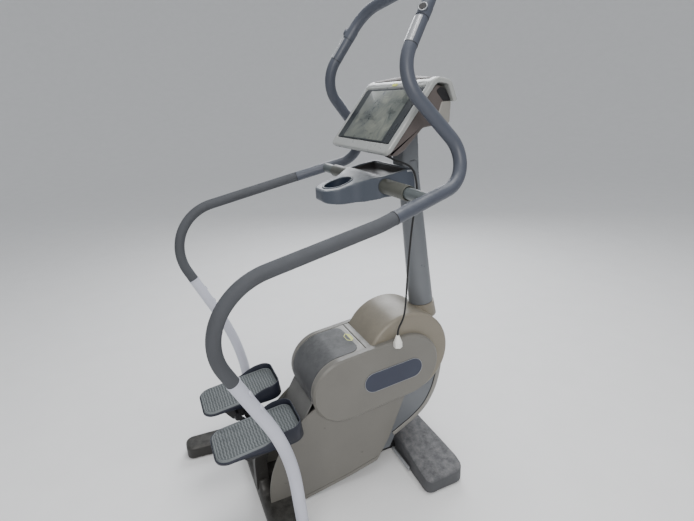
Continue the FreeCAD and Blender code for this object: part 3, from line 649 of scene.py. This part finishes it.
def blend_step(value, low, high):
    """Rises smoothly from 0 at low to 1 at high."""
    t = min(1.0, max(0.0, (value - low) / (high - low)))
    return t * t * (3 - 2 * t)


def tread_height(x, y):
    """Wavy ribs across the tread inside a raised border line, rounded off at the rim."""
    inside = edge_distance(x, y) - TREAD_GAP
    wave = 0.0011 * math.sin(x * 310 + y * 21) + 0.0007 * math.sin(x * 137 - y * 60)
    rib = 0.5 + 0.5 * math.cos(2 * math.pi * (y + wave) / RIB_PITCH)
    rib = blend_step(rib, 0.22, 0.80) * RIB_HEIGHT * blend_step(inside, 0.0085, 0.0105)
    border = blend_step(inside, 0.0028, 0.0040) * (1 - blend_step(inside, 0.0062, 0.0076))
    rim = -RIM_DROP * (1 - blend_step(inside, 0.0, 0.0025))
    return TREAD_Z - GROOVE_DEPTH + rib + border * BORDER_HEIGHT + rim


def make_tread():
    """Ribbed rubber sheet: a grid over the outline, closer together towards its edges."""
    rows, columns = 270, 84
    rear, length = PEDAL_REAR + TREAD_GAP, PEDAL_FRONT - PEDAL_REAR - 2 * TREAD_GAP
    verts = []
    for i in range(rows + 1):
        y = rear + length * (0.12 * (0.5 - 0.5 * math.cos(math.pi * i / rows)) + 0.88 * i / rows)
        low, high = 0.0, PEDAL_HALF
        for _ in range(26):
            half = (low + high) / 2
            low, high = (half, high) if edge_distance(half, y) > TREAD_GAP else (low, half)
        for j in range(columns + 1):
            x = low * (0.35 * math.sin(math.pi * (j / columns - 0.5)) + 0.65 * (2 * j / columns - 1))
            verts.append(pedal_place(x, y, tread_height(x, y)))
    width = columns + 1
    faces = []
    for i in range(rows):
        for j in range(columns):
            a = i * width + j
            faces.append((a, a + 1, a + width + 1, a + width))
    rim = list(range(width))
    rim += [i * width + columns for i in range(1, rows + 1)]
    rim += [rows * width + j for j in range(columns - 1, -1, -1)]
    rim += [i * width for i in range(rows - 1, 0, -1)]
    start = len(verts)
    drop = pedal_place(0, 0, -TREAD_DEPTH) - pedal_place(0, 0, 0)
    verts += [verts[k] + drop for k in rim]
    for k, here in enumerate(rim):
        n = (k + 1) % len(rim)
        faces.append((here, rim[n], start + n, start + k))
    faces.append(tuple(range(start, start + len(rim))))
    both("tread_ribbed", verts, faces, TREAD, "tread_rubber", "{side}_pedal", ["tread_{side}"])


def make_toe_guard():
    """Side wall that rises round the toe and deepens under it, with the deck that carries the tread."""
    rings = []
    under = TREAD_Z - 0.0090
    for a, b in zip(pedal_loop(0.0), pedal_loop(GUARD_WALL)):
        top = TREAD_Z - 0.0045 + 0.0245 * blend_step(a.y, -0.012, 0.088)
        bottom = TREAD_Z - 0.0155 - 0.0255 * blend_step(a.y, -0.120, 0.100)
        m = a.lerp(b, 0.5)
        rings.append([pedal_place(p.x, p.y, z) for p, z in (
            (a, bottom + GUARD_LIP), (a, (top + bottom) / 2), (a, top - GUARD_LIP),
            (a.lerp(m, 0.4), top - GUARD_LIP * 0.3), (m, top), (b.lerp(m, 0.4), top - GUARD_LIP * 0.3),
            (b, top - GUARD_LIP), (b, max(under, bottom + 0.002)), (b, under - 0.005),
            (b, bottom + GUARD_LIP), (m, bottom))])
    verts, faces = loft(rings, wrap=True)
    deck = pedal_loop(0.0030)
    first, n = len(verts), len(deck)
    for z in (TREAD_Z - 0.0092, TREAD_Z - 0.0138):
        verts += [pedal_place(p.x, p.y, z) for p in deck]
    faces += [tuple(range(first, first + n)), tuple(range(first + n, first + 2 * n))]
    for k in range(n):
        after = (k + 1) % n
        faces.append((first + k, first + after, first + n + after, first + n + k))
    both("toe_guard", verts, faces, NAVY, "pedal_navy", "{side}_pedal", ["pedal_{side}"])


make_tread()
make_toe_guard()


# -------- console
FACE_LOW, FACE_TOP = V((0.187, 1.314)), V((0.354, 1.518))
FACE_UP = (FACE_TOP - FACE_LOW).normalized()
FACE_OUT = V((-FACE_UP.y, FACE_UP.x))
CONSOLE_HALF = 0.222
SCREEN_LOW, SCREEN_HIGH, SCREEN_HALF = 0.036, 0.243, 0.200
POCKET_RIM, POCKET_DEPTH = 0.004, 0.0052
CAP_HALF, CAP_DEPTH = 0.1845, 0.0040
KEY_DEPTH = 0.0010


def face_point(across, up, out):
    """Place on the console's face: across, up the slope from its lower edge, and out of it."""
    spot = FACE_LOW + FACE_UP * up + FACE_OUT * out
    return V((across, spot.x, spot.y))


def open_outline(corners, steps=8):
    """Open (y, z) path with rounded inner corners."""
    return rounded_outline([(*corners[0][:2], 0)] + corners[1:-1] + [(*corners[-1][:2], 0)], steps)


def corner_half(half, corner, distance):
    """Half width at a distance from an end whose corners are rounded."""
    if distance >= corner:
        return half
    t = 1 - max(distance, 0.0) / corner
    return half - corner * (1 - math.sqrt(max(0.0, 1 - t * t)))


def make_console():
    path = open_outline([FACE_LOW, (*FACE_TOP, 0.030), (0.374, 1.529, 0.022), (0.424, 1.5195, 0.030),
                         (0.449, 1.457)])
    face_end = (FACE_TOP - FACE_LOW).length
    cap_start = face_end + 0.012

    def thick(s):
        return 0.0185 - 0.003 * blend_step(s, face_end, face_end + 0.05)

    def relief(a, s):
        """Sunk screen pocket, step for the top cap, and two shallow keys above the screen."""
        pocket = (1 - blend_step(abs(a), SCREEN_HALF, SCREEN_HALF + POCKET_RIM))
        pocket *= blend_step(s, SCREEN_LOW - POCKET_RIM, SCREEN_LOW)
        pocket *= 1 - blend_step(s, SCREEN_HIGH, SCREEN_HIGH + POCKET_RIM)
        cap = (1 - blend_step(abs(a), 0.186, 0.190)) * blend_step(s, cap_start, cap_start + 0.004)
        key = 1 - blend_step(abs(abs(a) - 0.165), 0.012, 0.014)
        key *= 1 - blend_step(abs(s - 0.256), 0.002, 0.0035)
        return -POCKET_DEPTH * pocket - CAP_DEPTH * cap - KEY_DEPTH * key

    stops = (SCREEN_LOW - POCKET_RIM, SCREEN_LOW, SCREEN_HIGH, SCREEN_HIGH + POCKET_RIM, cap_start,
             cap_start + 0.004)
    verts, faces = slab(path, lambda s: corner_half(CONSOLE_HALF, 0.026, s), thick, 0.0062, relief,
                        columns=150, step=0.0036, stops=stops)
    mesh_piece("console_frame", verts, faces, BEZEL, "silver_cover", replaces=["console_bezel"])

    cap_path = open_outline([(0.3665, 1.5265), (0.374, 1.5295, 0.02), (0.424, 1.5195, 0.030),
                             (0.4485, 1.4585)])
    run = path_length(cap_path)

    def crown(a, s):
        ends = blend_step(s, 0.0, 0.018) * (1 - blend_step(s, run - 0.03, run))
        return 0.0105 * (1 - (a / CAP_HALF) ** 2) * ends

    verts, faces = slab(cap_path, lambda s: CAP_HALF, lambda s: 0.0042, 0.0016, crown, columns=30,
                        step=0.004)
    mesh_piece("console_top_cap", verts, faces, CONSOLE, "console_black")

    border = rounded_outline([(-SCREEN_HALF, SCREEN_LOW, 0.005), (SCREEN_HALF, SCREEN_LOW, 0.005),
                              (SCREEN_HALF, SCREEN_HIGH, 0.009), (-SCREEN_HALF, SCREEN_HIGH, 0.009)], 6)
    window = rounded_outline([(-0.150, 0.041, 0.003), (0.150, 0.041, 0.003), (0.150, 0.234, 0.003),
                              (-0.150, 0.234, 0.003)], 4)
    for name, loop, levels, material, replaces in (
        ("screen_border", border,
         ((0.0004, -0.0050), (0.0004, -0.0012), (0.0012, -0.0004), (0.0024, -0.0004)),
         GLASS, ["console_glass"]),
        ("screen_window", window, ((0, -0.0006), (0, 0.0001), (0.0006, 0.0004)), SCREEN, []),
    ):
        verts, faces = loft([[face_point(p.x, p.y, out) for p in offset_loop(loop, inset)]
                             for inset, out in levels])
        mesh_piece(name, verts, faces, material, "overlay", replaces=replaces)

    body = [(0.2065, 1.3035, 0.004), (0.3655, 1.4975, 0.010), (0.380, 1.5075, 0.012),
            (0.409, 1.4965, 0.020), (0.430, 1.452, 0.014), (0.4275, 1.3885, 0.012),
            (0.334, 1.3795, 0.020), (0.267, 1.3155, 0.020), (0.240, 1.3005, 0.010)]
    back = [(0.398, 1.4555, 0.006), (0.4335, 1.4560, 0.005), (0.4300, 1.3875, 0.010),
            (0.372, 1.3835, 0.012)]
    # Painted shadow: a thin black sheet on the housing's side, between the bezel's inner edge and the
    # top of the rear band, where shade falls.
    painted_shadow_outline = [(0.392, 1.4985, 0.004), (0.4105, 1.4955, 0.018), (0.4325, 1.4565, 0.003),
              (0.4035, 1.4565, 0.004), (0.377, 1.488, 0.006)]
    for name, outline, half, edge, material, slot, replaces in (
        ("console_housing", body, 0.2055, 0.008, CONSOLE, "console_black", ["console_shell"]),
        ("console_rear_band", back, 0.2085, 0.005, PANEL_EDGE, "silver_cover", []),
        ("console_painted_shadow", painted_shadow_outline, 0.2070, 0.001, BLACK, "console_black", []),
    ):
        verts, faces = pillow(outline, -half, half, edge)
        mesh_piece(name, verts, faces, material, slot, replaces=replaces)


make_console()


# -------- casing
HOOD_CORNERS = [(-0.073, 0.428), (-0.073, 0.5738, 0.129), (0.1515, 0.5982)]
HOOD_HALF, PAD_HALF = 0.1078, 0.1035
PAD_START, PAD_END, PAD_LIFT = 0.006, 0.026, 0.0016
PAD_STEPS = 160


def make_hood():
    """Rolled skin over the rear of the casing, with a soft dark pad on it."""
    path = open_outline(HOOD_CORNERS, 24)
    run = path_length(path) - PAD_END
    verts, faces = slab(path, lambda s: HOOD_HALF, lambda s: 0.004, 0.0016, columns=30, step=0.006)
    mesh_piece("hood_skin", verts, faces, PANEL_EDGE, "dark_cover", replaces=["rear_hood"])

    inner = []
    for k in range(PAD_STEPS + 1):
        here, heading = at_length(path, PAD_START + run * k / PAD_STEPS)
        inner.append(here + V((-heading.y, heading.x)) * PAD_LIFT)
    verts, faces = slab(inner, lambda s: corner_half(PAD_HALF, 0.030, run - s), lambda s: 0.0019,
                        0.0009, lambda a, s: 0.0010 * (1 - (a / 0.104) ** 2), columns=30, step=0.004)
    mesh_piece("hood_pad", verts, faces, HOOD, "dark_cover")


def stadium_loop(start, end, radius, steps=28):
    """Closed (y, z) loop at a radius round the line from start to end."""
    lean = math.atan2(end[1] - start[1], end[0] - start[0])
    points = []
    for centre, first in ((end, lean - math.pi / 2), (start, lean + math.pi / 2)):
        for k in range(steps + 1):
            a = first + math.pi * k / steps
            points.append(V((centre[0] + radius * math.cos(a), centre[1] + radius * math.sin(a))))
    return points


BADGE_START, BADGE_END = (0.171, 0.461), (0.337, 0.476)
PILL = ((0.042, 0.1371), (0.042, 0.1382), (0.0414, 0.1388), (0.0398, 0.1390), (0.0392, 0.1386),
        (0.0386, 0.1386))
PILL_LINE = ((0.0418, 0.1384), (0.0416, 0.1391), (0.0408, 0.1393), (0.0400, 0.1391), (0.0398, 0.1384))
HEXAGON_LEVELS = ((1.0, -0.0002), (1.0, 0.0010), (0.93, 0.0016), (0.80, 0.0016), (0.76, 0.0012))
HOOD_TILT = math.radians(6.2)


def make_badges():
    """Blank pill plates with a raised outline on the side covers, and two small lime hexagons."""
    for side, sign in (("right", 1), ("left", -1)):
        for name, profile, material, slot in (("badge_pill_", PILL, BADGE, "badge"),
                                              ("badge_line_", PILL_LINE, SILVER, "silver_cover")):
            rings = [[V((sign * x, p.x, p.y)) for p in stadium_loop(BADGE_START, BADGE_END, radius)]
                     for radius, x in profile]
            verts, faces = loft(rings, wrap=profile is PILL_LINE)
            mesh_piece(name + side, verts, faces, material, slot,
                       replaces=["badges"] if name + side == "badge_pill_right" else ())

    slope = V((math.cos(HOOD_TILT), math.sin(HOOD_TILT)))
    for name, centre, along, out, wide, tall in (
        ("badge_hood", V((0, 0.129, 0.5968)), slope, V((-slope.y, slope.x)), 0.034, 0.014),
        ("badge_console", face_point(0, 0.2555, 0.0), FACE_UP, FACE_OUT, 0.020, 0.0055),
    ):
        corners = [(wide, 0), (wide * 0.55, tall), (-wide * 0.55, tall), (-wide, 0),
                   (-wide * 0.55, -tall), (wide * 0.55, -tall)]
        rings = []
        for scale, lift in HEXAGON_LEVELS:
            flat = [along * (v * scale) + out * lift for u, v in corners]
            rings.append([centre + V((u * scale, p.x, p.y)) for (u, v), p in zip(corners, flat)])
        verts, faces = loft(rings)
        mesh_piece(name, verts, faces, LIME, "badge", smooth=False)


make_hood()
make_badges()


LEG_X = 0.0600


def make_leg_lines():
    """Dark seam and light outer strip on both flanks of the front leg."""
    seam = smooth_path([(0, 0.283, 0.134), (0, 0.330, 0.158), (0, 0.386, 0.188), (0, 0.434, 0.228),
                        (0, 0.470, 0.285), (0, 0.490, 0.345), (0, 0.500, 0.398)], 10)
    for name, lift, wide, deep, material in (("leg_seam", 0.0, 0.0022, 0.0012, BLACK),
                                             ("leg_strip", 0.0125, 0.0095, 0.0016, PANEL_EDGE)):
        section = ((-wide, -0.0006), (-wide, deep * 0.5), (-wide * 0.7, deep), (wide * 0.7, deep),
                   (wide, deep * 0.5), (wide, -0.0006))
        rings = []
        for i, here in enumerate(seam):
            heading = (seam[min(i + 1, len(seam) - 1)] - seam[max(i - 1, 0)]).normalized()
            out = V((0, heading.z, -heading.y))
            rings.append([here + out * (lift + o) + V((LEG_X + d, 0, 0)) for o, d in section])
        verts, faces = loft(rings)
        both(name, verts, faces, material, "silver_cover")


make_leg_lines()


def ring_piece(name, centre, axis, profile, material, slot, steps=48):
    """Turned ring: profile is a closed (radius, along) loop about an axis."""
    axis = V(axis).normalized()
    side = axis.orthogonal().normalized()
    other = axis.cross(side)
    rings = []
    for k in range(steps):
        a = 2 * math.pi * k / steps
        spoke = side * math.cos(a) + other * math.sin(a)
        rings.append([V(centre) + spoke * r + axis * h for r, h in profile])
    verts, faces = loft(rings, wrap=True)
    mesh_piece(name, verts, faces, material, slot)


# -------- handrail
# Corners of the right rail's centre line, from the floor to the top arch.
RAIL = [V(p) for p in ((0.352, -0.205, 0.057), (0.372, -0.232, 0.490), (0.452, -0.490, 1.048),
                       (0.434, 0.058, 1.159), (0.356, 0.438, 1.248), (0.288, 0.198, 1.534),
                       (0.232, 0.352, 1.770))]
THUMB_OUT = V((0.61446, -0.58603, 0.52821))
LIP = ((0.0198, -0.004), (0.0208, -0.003), (0.0210, 0.000), (0.0206, 0.002), (0.0196, 0.0026))
GRIP_SEAM = ((0.0192, -0.0012), (0.0203, -0.0010), (0.0203, 0.0010), (0.0199, 0.0012))
SENSOR_SEAM = ((0.0190, -0.0011), (0.0205, -0.0009), (0.0205, 0.0009), (0.0196, 0.0011))
THUMB_RING = ((0.0104, -0.0010), (0.0104, 0.0003), (0.0112, 0.0010), (0.0134, 0.0008),
              (0.0139, -0.0010))
CROSS_COLLAR = ((0.0216, 0.0), (0.0246, 0.0), (0.0252, 0.004), (0.0244, 0.030), (0.0240, 0.146),
                (0.0230, 0.150), (0.0216, 0.150))
CLIP_SPOTS = (V((0.4085, -0.3499, 0.745)), V((0.4004, -0.3235, 0.688)))
CLIP_LEVELS = ((0.0175, 0.0050, 0.0085), (0.0222, 0.0050, 0.0085), (0.0234, 0.0042, 0.0076),
               (0.0240, 0.0030, 0.0062))


def along_rail(i, distance):
    """Place at a distance past corner i of the rail."""
    return RAIL[i] + (RAIL[i + 1] - RAIL[i]).normalized() * distance


def make_rail_details():
    for side, sign in (("right", 1), ("left", -1)):
        flip = Matrix.Diagonal((sign, 1, 1))
        out = flip @ THUMB_OUT
        for name, i, distance, profile, material, slot in (
            ("rail_lip_", 1, 0.340, LIP, RAIL_PAINT, "rail_paint"),
            ("rail_seam_", 3, 0.048, GRIP_SEAM, BLACK, "rail_grip"),
            ("sensor_ring_a_", 5, 0.0945, SENSOR_SEAM, BLACK, "thumb_black"),
            ("sensor_ring_b_", 5, 0.1795, SENSOR_SEAM, BLACK, "thumb_black"),
        ):
            heading = flip @ (RAIL[i + 1] - RAIL[i])
            ring_piece(name + side, flip @ along_rail(i, distance), heading, profile, material, slot)
        ring_piece("thumb_ring_" + side, flip @ along_rail(5, 0.197) + out * 0.0240, out, THUMB_RING,
                   SILVER, "sensor_steel")

    heading = (RAIL[2] - RAIL[1]).normalized()
    out = V((0.404, 0.915, 0.0))
    out = (out - heading * out.dot(heading)).normalized()
    across = heading.cross(out)
    for index, spot in enumerate(CLIP_SPOTS):
        rings = []
        for depth, wide, tall in CLIP_LEVELS:
            loop = rounded_outline([(-wide, -tall, 0.002), (wide, -tall, 0.002), (wide, tall, 0.002),
                                    (-wide, tall, 0.002)], 4)
            rings.append([spot + out * depth + across * p.x + heading * p.y for p in loop])
        verts, faces = loft(rings)
        both("rail_clip_%d" % index, verts, faces, RAIL_PAINT, "rail_paint")
    for side, sign in (("right", 1), ("left", -1)):
        ring_piece("cross_collar_" + side, V((sign * 0.139, 0.230, 1.199)), (sign, 0, 0), CROSS_COLLAR,
                   COLLAR, "tray_grey")


make_rail_details()


# -------- tray, foot and spine
STRIP_ARC = 8
STRIP_SINK = 0.0004
TRAY_SIDE = 0.1378
CUP_Y = 0.118


def edge_strip(name, path, out, wide, deep, material, slot):
    """Half-round strip laid along a path, proud along out, with its two edges sunk in."""
    rings = []
    for i, here in enumerate(path):
        heading = (path[min(i + 1, len(path) - 1)] - path[max(i - 1, 0)]).normalized()
        side = heading.cross(out).normalized()
        ring = []
        for k in range(STRIP_ARC + 1):
            a = math.pi * k / STRIP_ARC
            sink = STRIP_SINK if k in (0, STRIP_ARC) else 0.0
            ring.append(here + side * (wide * math.cos(a)) + out * (deep * math.sin(a) - sink))
        rings.append(ring)
    verts, faces = loft(rings)
    both(name, verts, faces, material, slot)


def make_tray_trim():
    """Light trim line down the rear edge of the tray's side, with a dark seam behind it."""
    out = V((1, 0, 0))
    path = smooth_path([(TRAY_SIDE, y, z) for y, z in (
        (0.314, 1.2392), (0.3315, 1.2395), (0.3395, 1.2310), (0.3448, 1.2060), (0.3462, 1.1850),
        (0.3460, 1.1700))])
    edge_strip("tray_trim", path, out, 0.0032, 0.0016, SILVER, "silver_cover")
    behind = [p + V((0.0, 0.0042, 0.0014)) for p in path]
    edge_strip("tray_seam", behind, out, 0.0022, 0.0009, BLACK, "thumb_black")


def make_compartment_liner():
    """Dark moulded liner of the tray's rear compartment."""
    loop = rounded_outline([(-0.1215, 0.2315, 0.012), (0.1215, 0.2315, 0.012), (0.1215, 0.3235, 0.010),
                            (-0.1215, 0.3235, 0.010)], 6)
    inner = offset_loop(loop, 0.0022)

    def brim(p):
        return 1.2255 + 0.155 * (p.y - 0.212)

    rings = [[V((p.x, p.y, 1.2202)) for p in loop], [V((p.x, p.y, brim(p))) for p in loop],
             [V((p.x, p.y, brim(p))) for p in inner], [V((p.x, p.y, 1.2222)) for p in inner]]
    verts, faces = loft(rings)
    mesh_piece("tray_liner", verts, faces, LINER, "console_black")


def make_cup_rim():
    """Raised lip round the mouth of the cup well, following the tray's top."""
    def top(y):
        return max(1.187 + (y - 0.046) * 0.1837, 1.196 + (y - 0.095) * 0.2821)

    rings = []
    for radius, lift in ((0.0478, -0.0040), (0.0477, 0.0006), (0.0488, 0.0018), (0.0512, 0.0018),
                         (0.0534, 0.0006), (0.0538, -0.0012)):
        ring = []
        for k in range(72):
            a = 2 * math.pi * k / 72
            y = CUP_Y + radius * math.sin(a)
            ring.append(V((radius * math.cos(a), y, top(y) + lift)))
        rings.append(ring)
    verts, faces = loft(rings, wrap=True)
    mesh_piece("cup_rim", verts, faces, TRAY, "tray_grey")


def make_foot_flange():
    """Steel edge plate along the rear lower edge of the front foot."""
    rings = []
    for x, inset in ((0.030, 0.0015), (0.034, 0.0), (0.165, 0.0), (0.169, 0.0015)):
        low, high = 0.010 + inset, 0.032 - inset
        rings.append([V((x, y, z)) for y, z in (
            (0.3030, low), (0.2995, low), (0.2985, 0.012 + inset), (0.2985, 0.030 - inset),
            (0.2995, high), (0.3030, high))])
    verts, faces = loft(rings)
    both("foot_flange", verts, faces, SILVER, "bright_steel")


CROSSBAR_HALF, CROSSBAR_BASE = 0.3015, 0.005
FLARE_HEIGHT = 0.075
SPINE_HALF = 0.0225
CROSSBAR_SECTION = ((-0.294, CROSSBAR_BASE), (-0.294, 0.030), (-0.291, 0.039), (-0.284, 0.0445),
                    (-0.274, 0.046), (-0.262, 0.046), (-0.250, 0.046), (-0.238, 0.046), (-0.220, 0.046),
                    (-0.200, 0.046), (-0.186, 0.0447), (-0.1765, 0.040), (-0.172, 0.031),
                    (-0.172, CROSSBAR_BASE))


def make_spine_flare():
    """The crossbar cover, swelling up to the foot of the spine."""
    xs = [-CROSSBAR_HALF, -CROSSBAR_HALF + 0.002] + [-0.24 + 0.02 * k for k in range(8)]
    xs += [-0.085 + 0.005 * k for k in range(35)]
    xs += [0.10 + 0.02 * k for k in range(8)] + [CROSSBAR_HALF - 0.002, CROSSBAR_HALF]
    rings = []
    for x in xs:
        rise = FLARE_HEIGHT * math.exp(-((max(abs(x) - 0.014, 0.0)) / 0.020) ** 1.25)
        ring = []
        for y, z in CROSSBAR_SECTION:
            share = 0.0
            if z > 0.03:
                share = blend_step(y, -0.2945, -0.286) * (1 - blend_step(y, -0.262, -0.232))
            if abs(x) < SPINE_HALF:
                share = min(share, 0.62)
            ring.append(V((x, y, z + rise * share)))
        rings.append(ring)
    verts, faces = loft(rings)
    mesh_piece("crossbar_flare", verts, faces, REAR, "dark_cover", replaces=["rear_crossbar_cover"])


make_tray_trim()
make_compartment_liner()
make_cup_rim()
make_foot_flange()
make_spine_flare()


# -------- soft mouldings
for name, voxel, passes in (("tray", 0.0026, 9), ("front_foot_covers", 0.0030, 6),
                            ("rear_leg_covers", 0.0026, 5), ("neck_cover", 0.0026, 6)):
    softened(frame["nodes"][name], voxel, passes)
for name, width in (("side_cover_right", 0.0016), ("side_cover_left", 0.0016),
                    ("side_panel_right", 0.0018), ("side_panel_left", 0.0018), ("disc_covers", 0.0012),
                    ("front_leg_cover", 0.003), ("rear_cover", 0.002), ("saddle_cover", 0.0015)):
    bevelled(frame["nodes"][name], width)


# -------- stage
FLOOR_FLAT, FLOOR_CURVE = 8.0, 10.0
FLOOR_SIDES = 96


def make_stage():
    """Pale floor, flat round the part and curving up far away, with room light and three lamps."""
    floor = bpy.data.meshes.new("floor")
    profile = [(4.0, 0.0), (FLOOR_FLAT, 0.0)]
    profile += [(FLOOR_FLAT + FLOOR_CURVE * math.sin(math.radians(a)),
                 FLOOR_CURVE * (1 - math.cos(math.radians(a)))) for a in range(4, 81, 4)]
    turns = [2 * math.pi * k / FLOOR_SIDES for k in range(FLOOR_SIDES)]
    verts = [(0.0, 0.0, 0.0)]
    for radius, height in profile:
        verts += [(radius * math.cos(a), radius * math.sin(a), height) for a in turns]
    faces = [(0, 1 + k, 1 + (k + 1) % FLOOR_SIDES) for k in range(FLOOR_SIDES)]
    for ring in range(len(profile) - 1):
        first = 1 + ring * FLOOR_SIDES
        second = first + FLOOR_SIDES
        for k in range(FLOOR_SIDES):
            after = (k + 1) % FLOOR_SIDES
            faces.append((first + k, second + k, second + after, first + after))
    floor.from_pydata(verts, [], faces)
    for face in floor.polygons:
        face.use_smooth = True
    obj = bpy.data.objects.new("floor", floor)
    bpy.context.scene.collection.objects.link(obj)
    floor.materials.append(moulded("floor_paint", (0.80, 0.80, 0.80), 0.75, grain=60.0,
                                   grain_depth=0.0001, mottle=0.015))
    world = bpy.data.worlds.new("soft_room")
    bpy.context.scene.world = world
    world.use_nodes = True
    room = world.node_tree.nodes["Background"]
    room.inputs["Color"].default_value = (0.93, 0.96, 1.0, 1.0)
    room.inputs["Strength"].default_value = 0.60
    for name, place, aim, size, power, tint in (
        ("key_light", (3.4, -1.2, 2.6), (0, 0, 0.8), 2.0, 110.0, (1.0, 0.98, 0.95)),
        ("back_light", (-2.6, 1.6, 2.6), (0, 0, 0.9), 2.0, 80.0, (0.95, 0.97, 1.0)),
        ("top_light", (0.2, 0.6, 3.8), (0, 0, 0.4), 1.6, 70.0, (1.0, 1.0, 1.0)),
    ):
        data = bpy.data.lights.new(name, "AREA")
        data.size = size
        data.energy = power
        data.color = tint
        light = bpy.data.objects.new(name, data)
        light.location = place
        light.rotation_euler = (V(aim) - V(place)).to_track_quat("-Z", "Y").to_euler()
        bpy.context.scene.collection.objects.link(light)


make_stage()
